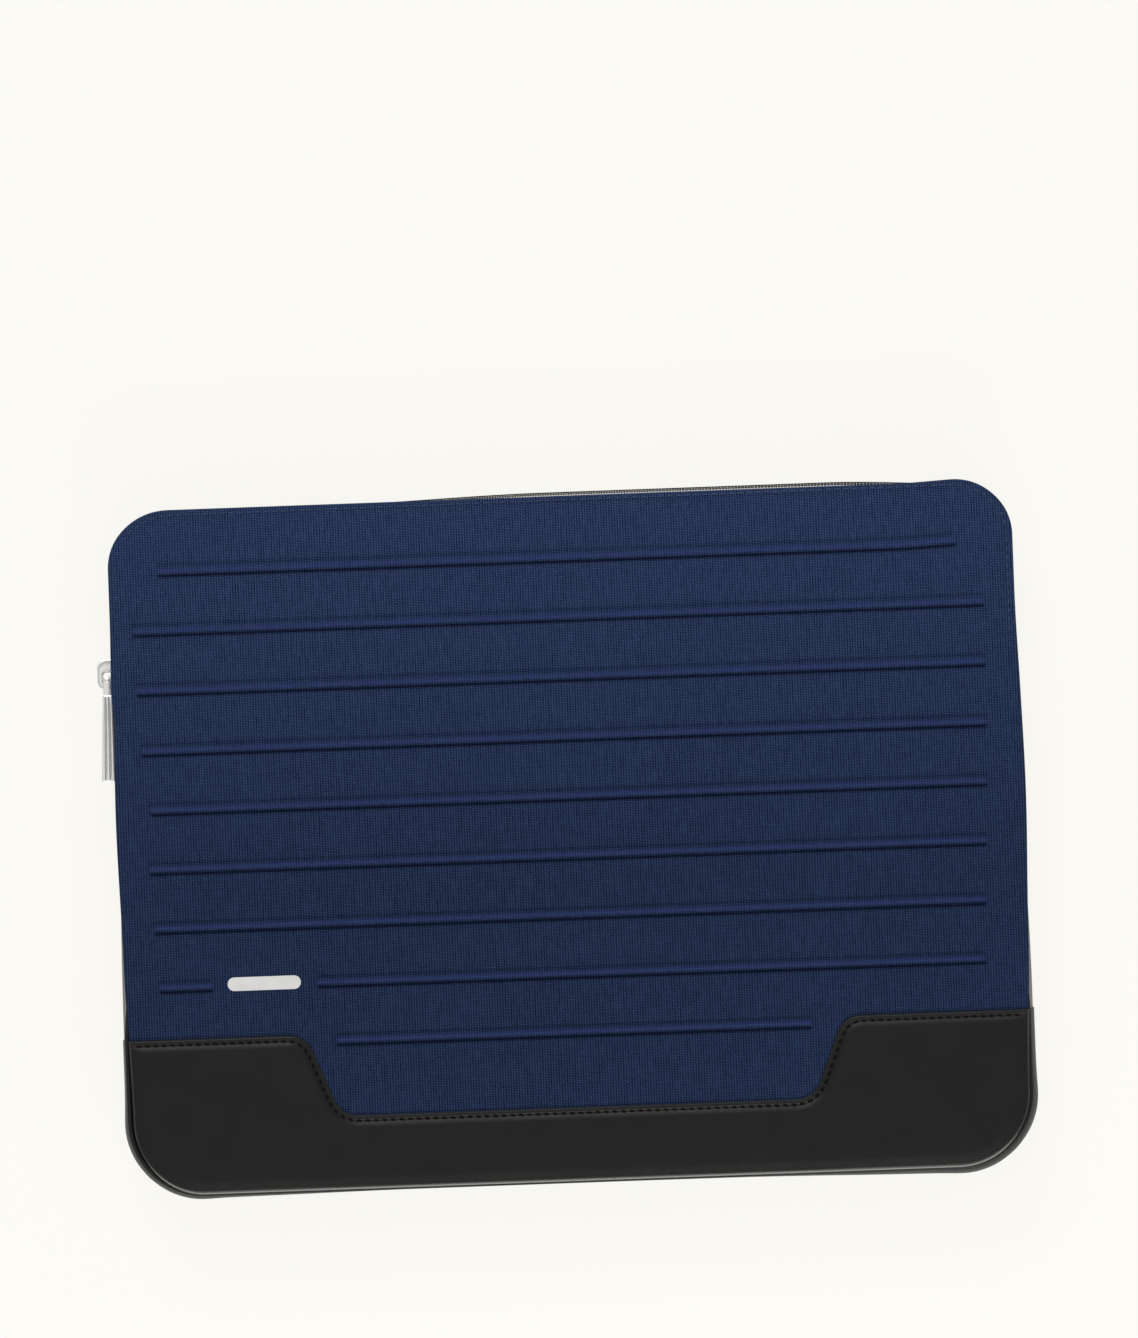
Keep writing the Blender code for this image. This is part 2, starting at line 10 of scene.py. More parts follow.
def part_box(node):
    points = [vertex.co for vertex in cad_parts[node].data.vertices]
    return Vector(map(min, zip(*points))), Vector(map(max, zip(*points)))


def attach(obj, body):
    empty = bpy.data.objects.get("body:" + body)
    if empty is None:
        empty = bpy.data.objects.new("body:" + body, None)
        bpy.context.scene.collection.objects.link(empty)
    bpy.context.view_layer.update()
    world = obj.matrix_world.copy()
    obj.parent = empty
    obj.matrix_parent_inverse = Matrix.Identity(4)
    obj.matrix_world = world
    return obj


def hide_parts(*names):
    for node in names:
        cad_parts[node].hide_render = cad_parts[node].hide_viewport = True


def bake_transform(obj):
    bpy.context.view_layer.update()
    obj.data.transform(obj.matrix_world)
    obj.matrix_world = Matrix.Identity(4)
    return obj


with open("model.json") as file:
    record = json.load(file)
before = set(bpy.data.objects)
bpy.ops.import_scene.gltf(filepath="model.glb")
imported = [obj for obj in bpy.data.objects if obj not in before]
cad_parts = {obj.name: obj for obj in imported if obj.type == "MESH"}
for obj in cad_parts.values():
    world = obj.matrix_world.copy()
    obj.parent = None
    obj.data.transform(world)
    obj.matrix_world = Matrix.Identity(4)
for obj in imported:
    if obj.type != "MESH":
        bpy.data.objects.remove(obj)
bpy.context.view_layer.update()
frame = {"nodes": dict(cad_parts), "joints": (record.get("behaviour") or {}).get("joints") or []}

MM = 0.001


def joint(name):
    return next(entry for entry in frame["joints"] if entry["name"] == name)


# --- sizes read from the frame ---
HALF_WIDTH, HALF_HEIGHT, TOP_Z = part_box("front_canvas_upper")[1]
MIDDLE_Z = TOP_Z / 2
BEND_Y = joint("mouth_fold")["pos_m"][1]
ZIP_END_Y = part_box("side_gusset_left")[1].y
COIL_START_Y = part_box("zip_coil_back")[0].y + 0.3 * MM
SHOULDER_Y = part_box("front_leather_trim")[1].y
LOW_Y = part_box("front_canvas_lower")[0].y - 0.4 * MM
SLIDER_LOW, SLIDER_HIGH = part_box("zip_slider")
SLIDER_TRAVEL = joint("slider_travel")["range_m"][1]
PULLER_LOW, PULLER_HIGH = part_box("zip_puller")
PIN = Vector(joint("puller_swing")["pos_m"])
CAD_RIBS = [name for name in frame["nodes"] if name.startswith("rib_")]

# --- sizes of the sewn work ---
TOP_RADIUS = 24.5 * MM
BOTTOM_RADIUS = 30.5 * MM
SLOPE_TOP_X = 110.2 * MM
SLOPE_LOW_X = 96.8 * MM
NOTCH_MIDDLE_X = -1.2 * MM
SLOPE_RADIUS = 11 * MM
CANVAS_THICKNESS = 0.7 * MM
LEATHER_THICKNESS = 0.9 * MM
LEATHER_STEP = 1.0 * MM         # how far the leather stands above the canvas
LEATHER_SWELL = 0.65 * MM
LEATHER_STITCH_INSET = 2.3 * MM
RIM = 1.6 * MM                  # radius of a panel's edge
PUFF = 0.7 * MM                 # how much the padding lifts a panel's middle
RELIEF_STEP = 4 * MM
RELIEF_CAP = 0.7 * MM
RELIEF_PRESSURE = 4.0
RELIEF_FRAMES = 20
HEM_WIDTH = 3.6 * MM
HEM_DEPTH = 0.45 * MM
STITCH_INSET = 2.2 * MM
RIB_HEIGHT = 1.5 * MM
RIB_HALF_WIDTH = 1.75 * MM
RIB_LEAN = 0.20 * MM            # how far a rib's ridge sits below its middle
RIB_CAP = 0.3 * MM
RIB_FOOT_DEPTH = 0.66 * MM      # the line pressed in along a rib's lower side
LATE_STARTS = {"rib_5": 2.2 * MM}    # ribs that start later than their CAD solid
GUSSET_SWELL = 2.2 * MM
GUSSET_THICKNESS = 1.0 * MM
PIPING_RADIUS = 0.85 * MM
TAPE_THICKNESS = 0.6 * MM
ZIP_BOW = 2.3 * MM
COIL_PITCH = 1.36 * MM
COIL_REACH = 2.15 * MM          # from the zip's middle to the far side of a row
COIL_MESH = 0.45 * MM           # how far a turn passes the zip's middle, or stays short of it
COIL_RADIUS = 0.62 * MM
COIL_WIRE = 0.33 * MM
WARP_PITCH = 1.10 * MM
WEFT_PITCH = 0.68 * MM


# --- small maths ---
def smooth(low, high, value):
    share = np.clip((np.asarray(value, float) - low) / (high - low), 0.0, 1.0)
    return share * share * (3 - 2 * share)


def bell(value, centre, width):
    return np.exp(-(((np.asarray(value, float) - centre) / width) ** 2))


def ring_angles(count):
    return 2 * np.pi * np.arange(count) / count


def rounded_square(count, power):
    """Points round a square from -1 to 1; the lower the power, the sharper its corners."""
    angles = ring_angles(count)
    sides = np.stack([np.cos(angles), np.sin(angles)])
    return np.sign(sides) * np.abs(sides) ** power


def inset_of(distance, radius):
    """How far a rounded edge draws back at this distance from the end."""
    near = np.clip(distance, 0.0, radius)
    return radius - np.sqrt(radius ** 2 - (radius - near) ** 2)


def inside_distance(x, y):
    """How far a point lies inside the panel's rounded outline."""
    radius = np.where(np.asarray(y) > 0, TOP_RADIUS, BOTTOM_RADIUS)
    across = np.abs(x) - (HALF_WIDTH - radius)
    along = np.abs(y) - (HALF_HEIGHT - radius)
    outer = np.hypot(np.maximum(across, 0), np.maximum(along, 0))
    return -(outer + np.minimum(np.maximum(across, along), 0) - radius)


def half_width_at(y):
    """Half of the panel's width at this height."""
    y = np.asarray(y, float)
    radius = np.where(y > 0, TOP_RADIUS, BOTTOM_RADIUS)
    rise = np.clip(np.abs(y) - (HALF_HEIGHT - radius), 0, radius)
    return HALF_WIDTH - radius + np.sqrt(np.maximum(radius ** 2 - rise ** 2, 0))


def bottom_edge_at(x):
    """Y of the panel's bottom edge below this X."""
    over = np.clip(np.abs(x) - (HALF_WIDTH - BOTTOM_RADIUS), 0, BOTTOM_RADIUS)
    return -(HALF_HEIGHT - BOTTOM_RADIUS) - np.sqrt(np.maximum(BOTTOM_RADIUS ** 2 - over ** 2, 0))


def side_drift(y):
    """How far the soft panel's side edge stands out of, or draws back from, the nominal width."""
    drawn_in = -1.6 * MM * (1 - smooth(-112 * MM, -45 * MM, y))
    return drawn_in + 1.25 * MM * bell(y, 14 * MM, 42 * MM) - 0.5 * MM * smooth(55 * MM, 95 * MM, y)


def drift(x, y):
    """X of a point of the front after the panel's sides have drifted."""
    weight = smooth(150 * MM, HALF_WIDTH, np.abs(x))
    fuller = np.where(x > 0, 0.9 * MM, 1.3 * MM * smooth(50 * MM, 72 * MM, y))
    return x + np.sign(x) * weight * (side_drift(y) + fuller)


def lifted(x, y):
    """Y of a point of the front cover, whose upper right corner and outer ribs sit a little higher."""
    corner = 1.4 * MM * smooth(135 * MM, 175 * MM, x) * smooth(85 * MM, 112 * MM, y)
    upper = 0.6 * MM * smooth(40 * MM, 80 * MM, y) * (1 - smooth(122 * MM, 136 * MM, y))
    lower = 0.5 * MM * bell(y, -79 * MM, 20 * MM)
    return y + corner + upper + lower


def waviness(x, y, size, seed):
    """Soft unevenness of padded cloth, from -1 to 1."""
    places = zip(np.ravel(x), np.ravel(y))
    values = [noise.noise(Vector((a / size, b / size, seed))) for a, b in places]
    return np.array(values).reshape(np.shape(x))


def dense_steps(low, high, step, fine, centres, reach):
    """Positions from low to high, step apart, and fine apart within reach of each centre."""
    places = [low]
    while places[-1] < high:
        here = places[-1]
        near = min(abs(here + fine / 2 - centre) for centre in centres)
        share = float(smooth(reach, reach + 4 * step, near))
        places.append(here + fine + (step - fine) * share)
    places[-1] = high
    return np.array(places)


# --- lines ---
def rounded_line(corners, steps=14):
    """Points of an open line whose inner corners (x, y, radius) are arcs."""
    points = [np.array(corners[0][:2])]
    for before, corner, after in zip(corners, corners[1:], corners[2:]):
        here = Vector(corner[:2])
        radius = corner[2]
        back = (Vector(before[:2]) - here).normalized()
        ahead = (Vector(after[:2]) - here).normalized()
        half = back.angle(ahead) / 2
        centre = here + (back + ahead).normalized() * (radius / math.sin(half))
        start = here + back * (radius / math.tan(half)) - centre
        side = 1.0 if back.cross(ahead) < 0 else -1.0
        for angle in side * (math.pi - 2 * half) * np.arange(steps + 1) / steps:
            points.append(np.array(centre) + turned(np.array(start), angle))
    points.append(np.array(corners[-1][:2]))
    return np.array(points)


def turned(way, angle):
    """A flat direction turned anticlockwise."""
    cosine, sine = math.cos(angle), math.sin(angle)
    return np.array([way[0] * cosine - way[1] * sine, way[0] * sine + way[1] * cosine])


def distances_along(line):
    return np.concatenate([[0], np.cumsum(np.hypot(*np.diff(line, axis=0).T))])


def even_points(line, count):
    """Points spread evenly along a line."""
    along = distances_along(line)
    places = np.linspace(0, along[-1], count)
    return np.stack([np.interp(places, along, line[:, 0]), np.interp(places, along, line[:, 1])], axis=1)


def resample(line, pitch):
    """The same line with points about a pitch apart, and each one's direction and distance along."""
    length = distances_along(line)[-1]
    count = max(2, int(round(length / pitch)) + 1)
    points = even_points(line, count)
    tangent = np.gradient(points, axis=0)
    tangent /= np.maximum(np.hypot(tangent[:, 0], tangent[:, 1])[:, None], 1e-12)
    return points, tangent, np.linspace(0, length, count)


def right_of(tangent):
    return np.stack([tangent[:, 1], -tangent[:, 0]], axis=1)


def panel_edge(side, end_y, inset=0.0):
    """The panel's edge from end_y on one side to end_y on the other. For side -1 it runs from the left
    round the bottom, and for side 1 from the right round the top."""
    x, y = (HALF_WIDTH - inset) * side, (HALF_HEIGHT - inset) * side
    radius = (TOP_RADIUS if side > 0 else BOTTOM_RADIUS) - inset
    return rounded_line([(x, end_y, 0), (x, y, radius), (-x, y, radius), (-x, end_y, 0)])


def trim_line():
    """The leather's upper edge, left to right."""
    middle = NOTCH_MIDDLE_X
    return rounded_line(
        [
            (-HALF_WIDTH, SHOULDER_Y, 0),
            (middle - SLOPE_TOP_X, SHOULDER_Y, SLOPE_RADIUS),
            (middle - SLOPE_LOW_X, LOW_Y, SLOPE_RADIUS),
            (middle + SLOPE_LOW_X, LOW_Y, SLOPE_RADIUS),
            (middle + SLOPE_TOP_X, SHOULDER_Y, SLOPE_RADIUS),
            (HALF_WIDTH, SHOULDER_Y, 0),
        ]
    )


TRIM = trim_line()


def trim_seam():
    """The trim's stitch line, without the ends that pass the panel's edge."""
    points, tangent, along = resample(TRIM, 0.8 * MM)
    moved = points + right_of(tangent) * LEATHER_STITCH_INSET
    return moved[np.abs(moved[:, 0]) < HALF_WIDTH - 2.5 * MM]


def distance_to_line(x, y, line):
    """Distance of each point from an open line."""
    steps = np.diff(line, axis=0)
    lengths = np.maximum((steps ** 2).sum(1), 1e-18)
    best = np.full(np.shape(x), 1e9)
    for start, step, length in zip(line, steps, lengths):
        share = np.clip(((x - start[0]) * step[0] + (y - start[1]) * step[1]) / length, 0, 1)
        gap = np.hypot(x - start[0] - share * step[0], y - start[1] - share * step[1])
        best = np.minimum(best, gap)
    return best


# --- meshes ---
def add_piece(name, points, faces, sharp=40, painted_light_mark=None):
    """A smooth-shaded piece with its faces turned outwards. The mark given for each point, from -1 to 1,
    is kept on the mesh for the material, which paints highlight or shade from it, and on the leather also
    its lighter cut edge."""
    mesh = bpy.data.meshes.new(name)
    mesh.from_pydata(np.asarray(points).tolist(), [], faces)
    work = bmesh.new()
    work.from_mesh(mesh)
    bmesh.ops.recalc_face_normals(work, faces=work.faces)
    work.to_mesh(mesh)
    work.free()
    mesh.shade_smooth()
    mesh.set_sharp_from_angle(angle=math.radians(sharp))
    if painted_light_mark is not None:
        mark = mesh.attributes.new("painted_light_mark", "FLOAT", "POINT")
        mark.data.foreach_set("value", np.clip(painted_light_mark, -1, 1).astype(np.float32))
    piece = bpy.data.objects.new(name, mesh)
    bpy.context.scene.collection.objects.link(piece)
    return piece


def points_of(x, y, z):
    """Points from their coordinates, each an array or a number."""
    return np.stack(np.broadcast_arrays(x, y, z), axis=-1).reshape(-1, 3)


def grid_faces(rows, columns):
    first = np.arange(rows * columns).reshape(rows, columns)[:-1, :-1].ravel()
    return np.stack([first, first + 1, first + columns + 1, first + columns], axis=1).tolist()


def wall_faces(first, second):
    """Quads between two closed rings of points, given by the points' numbers."""
    return [(first[i - 1], first[i], second[i], second[i - 1]) for i in range(len(first))]


def doubled_grid(rows, columns):
    """Faces of a grid and of a second one after it, and the numbers of the points round each."""
    number = np.arange(rows * columns).reshape(rows, columns)
    ring = np.concatenate([number[0], number[1:, -1], number[-1, -2::-1], number[-2:0:-1, 0]])
    surface = grid_faces(rows, columns)
    faces = surface + [[corner + number.size for corner in face] for face in surface]
    return faces, ring.tolist(), (ring + number.size).tolist()


def shell_from_grid(name, x, y, z, skirt, thickness, face, painted_light_mark):
    """A closed cloth shell: the outer surface z, a skirt turned down round its edge, and an inner
    surface one thickness below. face is 1 for the front's and -1 for the back's."""
    faces, ring, inner_ring = doubled_grid(*x.shape)
    outer = points_of(x, y, z)
    undrifted = 2 * x - drift(x, y)
    pull = np.clip(1 - inside_distance(undrifted, y).ravel() / thickness, 0, 1) * thickness
    near_side = np.abs(outer[:, 0]) > HALF_WIDTH * 0.5
    near_end = np.abs(outer[:, 1]) > HALF_HEIGHT * 0.6
    inner = outer.copy()
    inner[:, 0] -= np.sign(outer[:, 0]) * pull * near_side
    inner[:, 1] -= np.sign(outer[:, 1]) * pull * near_end
    inner[:, 2] -= thickness
    edge = outer[ring] - (0, 0, skirt)
    edge_ring = range(2 * len(outer), 2 * len(outer) + len(ring))
    faces += wall_faces(ring, edge_ring) + wall_faces(edge_ring, inner_ring)
    points = np.concatenate([outer, inner, edge]) * (1, 1, face)
    marks = np.concatenate([painted_light_mark.ravel(), painted_light_mark.ravel(), np.zeros(len(ring))])
    return add_piece(name, points, faces, 50, marks)


def skin(name, rings, sharp=40, marks=None, levels=None):
    """Closed bodies over rings of the same size: levels rings to a body, or all of them to one."""
    size = len(rings[0])
    levels = levels or len(rings)
    number = np.arange(len(rings) * size).reshape(-1, size).tolist()
    faces = []
    for start in range(0, len(rings), levels):
        body = number[start:start + levels]
        faces += [body[0], body[-1]]
        for first, second in zip(body, body[1:]):
            faces += wall_faces(first, second)
    painted_light_mark = None if marks is None else np.concatenate(marks)
    return add_piece(name, np.concatenate(rings), faces, sharp, painted_light_mark)


def sweep(name, line, section_at):
    """Sweep a closed section of (distance outside the line, height) along an edge line."""
    points, tangent, along = line
    rings = []
    for point, outward, place in zip(points, right_of(tangent), along):
        section = np.asarray(section_at(point, place))
        rings.append(np.column_stack([point + outward * section[:, :1], section[:, 1]]))
    return skin(name, rings)


def circle_section(out, height, radius, sides=12):
    angles = ring_angles(sides)
    return np.stack([out + radius * np.cos(angles), height + radius * np.sin(angles)], axis=1)


def band_section(out, height, thickness):
    """A band's section: its outer side at out for each height, and its inner side behind it."""
    outer = np.stack([out, height], axis=1)
    return np.concatenate([outer, outer[::-1] - (thickness, 0)])


# stitches: the pitch and length of each row's, and the thread's radius along the mouth
TOPSTITCH = (3.6 * MM, 2.6 * MM, 0.32 * MM)
TRIM_STITCH = (3.5 * MM, 2.5 * MM)
# a stitch's rings: share of its length, then rise and thickness as shares of the thread's radius
STITCH_RINGS = (
    (-0.5, -1.3, 0.35), (-0.40, -0.25, 0.85), (-0.15, 0.30, 1.0),
    (0.15, 0.30, 1.0), (0.40, -0.25, 0.85), (0.5, -1.3, 0.35),
)


def stitch_row(name, line, pitch, length, radius, height_at, slant=0.0, face=1):
    """A row of separate thread stitches that dip into the cloth at both ends."""
    points = resample(line, pitch)[0]
    angles = ring_angles(7)
    rings = []
    for start, end in zip(points, points[1:]):
        way = turned((end - start) / np.hypot(*(end - start)), slant)
        across = turned(way, math.pi / 2)
        for share, lift, fat in STITCH_RINGS:
            spot = (start + end) / 2 + way * share * length
            level = float(height_at(*spot)) + radius * lift
            flat = spot + np.outer(np.cos(angles), across) * radius * fat
            rings.append(np.column_stack([flat, face * (level + radius * fat * np.sin(angles))]))
    return skin(name, rings, 80, levels=len(STITCH_RINGS))


# --- materials ---
class Nodes:
    """Short names for building one material's node tree. An input is a socket, a number or a tuple."""

    def __init__(self, name, roughness, metallic=0.0, specular=0.5):
        self.material = bpy.data.materials.new(name)
        self.material.use_nodes = True
        self.tree = self.material.node_tree
        self.put("Roughness", roughness)
        self.put("Metallic", metallic)
        self.put("Specular IOR Level", specular)
        self.position = self.add("TexCoord", {})["Object"]

    def link(self, source, target):
        if isinstance(source, tuple):
            target.default_value = (*source, 1.0)[:len(target.default_value)]
        elif isinstance(source, (int, float)):
            target.default_value = source
        else:
            self.tree.links.new(source, target)

    def put(self, name, source):
        """Feed one of the shader's inputs."""
        self.link(source, self.tree.nodes["Principled BSDF"].inputs[name])

    def add(self, kind, inputs, **settings):
        """Add a node and give its outputs."""
        node = self.tree.nodes.new("ShaderNode" + kind)
        for name, value in settings.items():
            setattr(node, name, value)
        for name, source in inputs.items():
            self.link(source, node.inputs[name])
        return node.outputs

    def maths(self, operation, first, second=0.0):
        return self.add("Math", {0: first, 1: second}, operation=operation)[0]

    def plus(self, first, second):
        return self.maths("ADD", first, second)

    def times(self, first, second):
        return self.maths("MULTIPLY", first, second)

    def axes(self):
        return self.add("SeparateXYZ", {0: self.position})

    def painted_light_mark(self):
        """The mark that a mesh keeps for its material, from which it paints highlight or shade."""
        return self.add("Attribute", {}, attribute_name="painted_light_mark")["Fac"]

    def noise(self, scale, detail, stretch=(1, 1, 1)):
        place = self.add("Mapping", {"Vector": self.position, "Scale": stretch})[0]
        return self.add("TexNoise", {"Vector": place, "Scale": scale, "Detail": detail})["Fac"]

    def cells(self, scale, feature):
        return self.add("TexVoronoi", {"Vector": self.position, "Scale": scale}, feature=feature)["Distance"]

    def ramp(self, value, low, high, start=0.0, end=1.0):
        """The value's stretch from start to end, turned into low to high and held there beyond it."""
        bounds = {"From Min": start, "From Max": end, "To Min": low, "To Max": high}
        return self.add("MapRange", {"Value": value, **bounds})[0]

    def mix(self, factor, first, second):
        """A mix of two colours."""
        return self.add("Mix", {"Factor": factor, "A": first, "B": second}, data_type="RGBA")["Result"]

    def bump(self, height, distance, strength=1.0, **under):
        """Bumps on the shader, on top of those given as Normal."""
        bumps = {"Height": height, "Distance": distance, "Strength": strength, **under}
        normal = self.add("Bump", bumps)[0]
        self.put("Normal", normal)
        return normal


def shade(colour, factor):
    return tuple(factor * channel for channel in colour)


def weave_height(nodes, first, second):
    """Plain weave: a hump at each crossing, long one way where the warp is on top."""
    warp = nodes.maths("COSINE", nodes.times(first, math.pi / WARP_PITCH))
    weft = nodes.maths("COSINE", nodes.times(second, math.pi / WEFT_PITCH))
    over = nodes.maths("GREATER_THAN", nodes.times(warp, weft), 0.0)
    tall = nodes.maths("ABSOLUTE", warp)
    wide = nodes.maths("ABSOLUTE", weft)
    upright = nodes.times(tall, nodes.maths("POWER", wide, 0.45))
    level = nodes.times(nodes.maths("POWER", tall, 0.45), nodes.times(wide, 0.8))
    return nodes.add("Mix", {"Factor": over, "A": level, "B": upright})["Result"]


def make_canvas():
    """Navy canvas: uneven threads, with painted light that falls off from the mouth downwards, a painted
    highlight on the ribs and painted shadow at their feet.
    """
    nodes = Nodes("navy_canvas", 0.85, specular=0.04)
    x, y, z = nodes.axes()
    height = weave_height(nodes, x, y)
    slub = nodes.noise(900, 3.0, (1.0, 0.16, 1.0))
    cross_slub = nodes.noise(900, 2.0, (0.16, 1.0, 1.0))
    patch = nodes.noise(14, 3.0)
    painted_light_mark = nodes.painted_light_mark()
    cloth = nodes.mix(nodes.ramp(height, -0.75, 1.25), (0.0010, 0.0050, 0.0240), (0.0600, 0.0980, 0.2300))
    cloth = nodes.mix(nodes.ramp(slub, -0.38, 0.72), cloth, (0.0420, 0.0700, 0.1600))
    cloth = nodes.mix(nodes.ramp(cross_slub, -0.50, 0.72), cloth, (0.0120, 0.0260, 0.0740))
    # painted light: the cloth's colour is scaled from darker below to brighter towards the mouth, as if lit
    # from the top
    painted_light_falloff = nodes.ramp(y, 0.60, 0.93, -20 * MM, HALF_HEIGHT)
    cloth = nodes.add("VectorMath", {0: cloth, "Scale": painted_light_falloff}, operation="SCALE")[0]
    cloth = nodes.mix(nodes.ramp(patch, -0.1, 0.22), cloth, (0.0190, 0.0330, 0.0880))
    # painted highlight: the upper part of each rib is coloured a lighter violet blue
    painted_rib_highlight = nodes.times(nodes.maths("POWER", nodes.maths("MAXIMUM", painted_light_mark, 0.0), 1.5), 0.55)
    # painted shadow: the line along each rib's lower foot is coloured near black navy
    painted_rib_shadow = nodes.maths("MINIMUM", nodes.times(painted_light_mark, -1.5), 0.70)
    cloth = nodes.mix(painted_rib_highlight, cloth, (0.0300, 0.0420, 0.1500))
    nodes.put("Base Color", nodes.mix(painted_rib_shadow, cloth, (0.0035, 0.0070, 0.0220)))
    nodes.put("Roughness", nodes.ramp(slub, 0.72, 0.92))
    nodes.bump(nodes.plus(height, nodes.times(slub, 0.8)), 0.35 * MM)
    nodes.put("Sheen Weight", 0.03)
    nodes.put("Sheen Roughness", 0.5)
    nodes.put("Sheen Tint", (0.35, 0.45, 0.8))
    return nodes.material


def make_leather(name, colour, roughness, grain=1.0):
    """Grained leather, painted lighter and made smoother where its mesh is marked: a painted highlight, and
    along the cut edge partly the edge's own lighter colour.
    """
    nodes = Nodes(name, roughness, specular=0.2)
    pores = nodes.cells(1900, "F1")
    creases = nodes.cells(800, "DISTANCE_TO_EDGE")
    mottle = nodes.noise(60, 4.0)
    fine = nodes.times(nodes.noise(2600, 3.0), 0.5)
    painted_light_mark = nodes.painted_light_mark()
    hide = nodes.mix(mottle, shade(colour, 0.72), shade(colour, 1.30))
    # the marked places turn pale grey: a painted highlight on the rim, and on the cut edge partly its own
    # lighter colour
    nodes.put("Base Color", nodes.mix(nodes.times(painted_light_mark, 0.8), hide, (0.250, 0.245, 0.230)))
    uneven = nodes.ramp(nodes.plus(mottle, fine), roughness - 0.10, roughness + 0.05)
    nodes.put("Roughness", nodes.maths("SUBTRACT", uneven, nodes.times(painted_light_mark, 0.30)))
    grained = nodes.bump(nodes.plus(pores, fine), 0.04 * MM * grain, 0.8)
    nodes.bump(nodes.maths("MINIMUM", creases, 0.12), 0.3 * MM * grain, 0.5, Normal=grained)
    return nodes.material


def make_thread(name, colour):
    """Sewing thread with its twist."""
    nodes = Nodes(name, 0.75, specular=0.08)
    x, y, z = nodes.axes()
    twist = nodes.maths("SINE", nodes.times(nodes.plus(x, nodes.plus(y, z)), 9000.0))
    lit = nodes.ramp(twist, 0.35, 0.65)
    nodes.put("Base Color", nodes.mix(lit, shade(colour, 0.6), shade(colour, 1.5)))
    nodes.bump(twist, 0.05 * MM, 0.6)
    return nodes.material


def make_webbing(name, dark, light, pitch):
    """Narrow woven band: fine ribs across it and a herringbone step along its length."""
    nodes = Nodes(name, 0.85, specular=0.15)
    x, y, z = nodes.axes()
    turn = 2 * math.pi / pitch
    zig = nodes.maths("PINGPONG", z, 2 * pitch)
    rib = nodes.maths("SINE", nodes.times(nodes.plus(nodes.plus(x, y), zig), turn))
    line = nodes.maths("SINE", nodes.times(z, turn))
    height = nodes.plus(rib, nodes.times(line, 0.6))
    soiled = nodes.plus(height, nodes.noise(220, 3.0))
    nodes.put("Base Color", nodes.mix(nodes.ramp(soiled, 0.1, 0.75), dark, light))
    nodes.bump(height, 0.10 * MM, 0.8)
    return nodes.material


def make_coil():
    nodes = Nodes("black_zip_coil", 0.32, specular=0.5)
    mottle = nodes.noise(700, 2.0)
    nodes.put("Base Color", nodes.mix(mottle, (0.016, 0.016, 0.017), (0.034, 0.034, 0.036)))
    nodes.put("Roughness", nodes.ramp(mottle, 0.25, 0.42))
    nodes.bump(mottle, 0.03 * MM, 0.5)
    return nodes.material


def make_metal(name, colour, stretch):
    """Brushed metal with painted shade in the grooves that its mesh marks; stretch sets the brush marks'
    way.
    """
    nodes = Nodes(name, 0.30, metallic=1.0)
    brush = nodes.noise(1800, 3.0, stretch)
    wear = nodes.noise(180, 3.0)
    face = nodes.mix(wear, shade(colour, 0.86), colour)
    # painted shade: where the mesh is marked the metal is coloured much darker
    nodes.put("Base Color", nodes.mix(nodes.painted_light_mark(), face, shade(colour, 0.38)))
    nodes.put("Roughness", nodes.ramp(nodes.plus(brush, wear), 0.22, 0.40))
    nodes.bump(brush, 0.02 * MM, 0.5)
    return nodes.material


def make_lining():
    """Brushed lining with a dark nap."""
    nodes = Nodes("dark_lining", 0.92, specular=0.2)
    nap = nodes.noise(1400, 4.0, (1.0, 0.35, 1.0))
    patch = nodes.noise(45, 3.0)
    lit = nodes.ramp(nap, -0.2, 1.1)
    nodes.put("Base Color", nodes.mix(lit, (0.012, 0.014, 0.019), (0.050, 0.055, 0.068)))
    nodes.bump(nodes.plus(nap, nodes.times(patch, 0.6)), 0.18 * MM, 0.8)
    nodes.put("Sheen Weight", 0.35)
    nodes.put("Sheen Roughness", 0.4)
    return nodes.material


def make_floor_material():
    """A pale sheet that mostly glows, so that the sleeve's own shadow stays faint."""
    nodes = Nodes("pale_floor", 0.9, specular=0.0)
    nodes.put("Base Color", (0.080, 0.079, 0.0755))
    nodes.put("Emission Color", (0.872, 0.863, 0.824))
    nodes.put("Emission Strength", 1.0)
    return nodes.material


# --- heights of the sewn front ---
def rib_lines():
    """Start, end and Y of each rib, from the frame."""
    lines = []
    for name in sorted(CAD_RIBS):
        low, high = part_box(name)
        start = low.x + RIB_CAP + LATE_STARTS.get(name, 0.0)
        lines.append((start, high.x - RIB_CAP, (low.y + high.y) / 2))
    return lines


RIBS = rib_lines()


def rib_height(x, y):
    """Tucks with a long upper slope and a steep lower one, and a pressed line along the lower foot."""
    total = np.zeros(np.shape(x))
    for start, end, middle in RIBS:
        beyond = np.maximum(np.maximum(start - x, x - end), 0)
        rise = y - (middle - RIB_LEAN)
        slope = RIB_HALF_WIDTH + np.where(rise > 0, RIB_LEAN, -RIB_LEAN)
        share = np.clip(np.hypot(beyond / RIB_HALF_WIDTH, rise / slope), 0, 1)
        ridge = 1 - np.where(rise > 0, smooth(0.0, 1.0, share ** 1.1), smooth(0.10, 1.0, share))
        along = smooth(start - 1.5 * MM, start, x) * smooth(end + 1.5 * MM, end, x)
        foot = along * bell(y, middle - RIB_HALF_WIDTH - 0.35 * MM, 0.90 * MM)
        total = total + RIB_HEIGHT * ridge - RIB_FOOT_DEPTH * foot
    return total


def held_points(x, y):
    """Where the cover is sewn down: its outline, the foot of each rib and the trim's seam."""
    held = inside_distance(x, y) < 0.75 * RELIEF_STEP
    held = held | (distance_to_line(x, y, TRIM) < 0.6 * RELIEF_STEP)
    for start, end, middle in RIBS:
        held = held | ((np.abs(y - middle) < 0.52 * RELIEF_STEP) & (x > start) & (x < end))
    return held


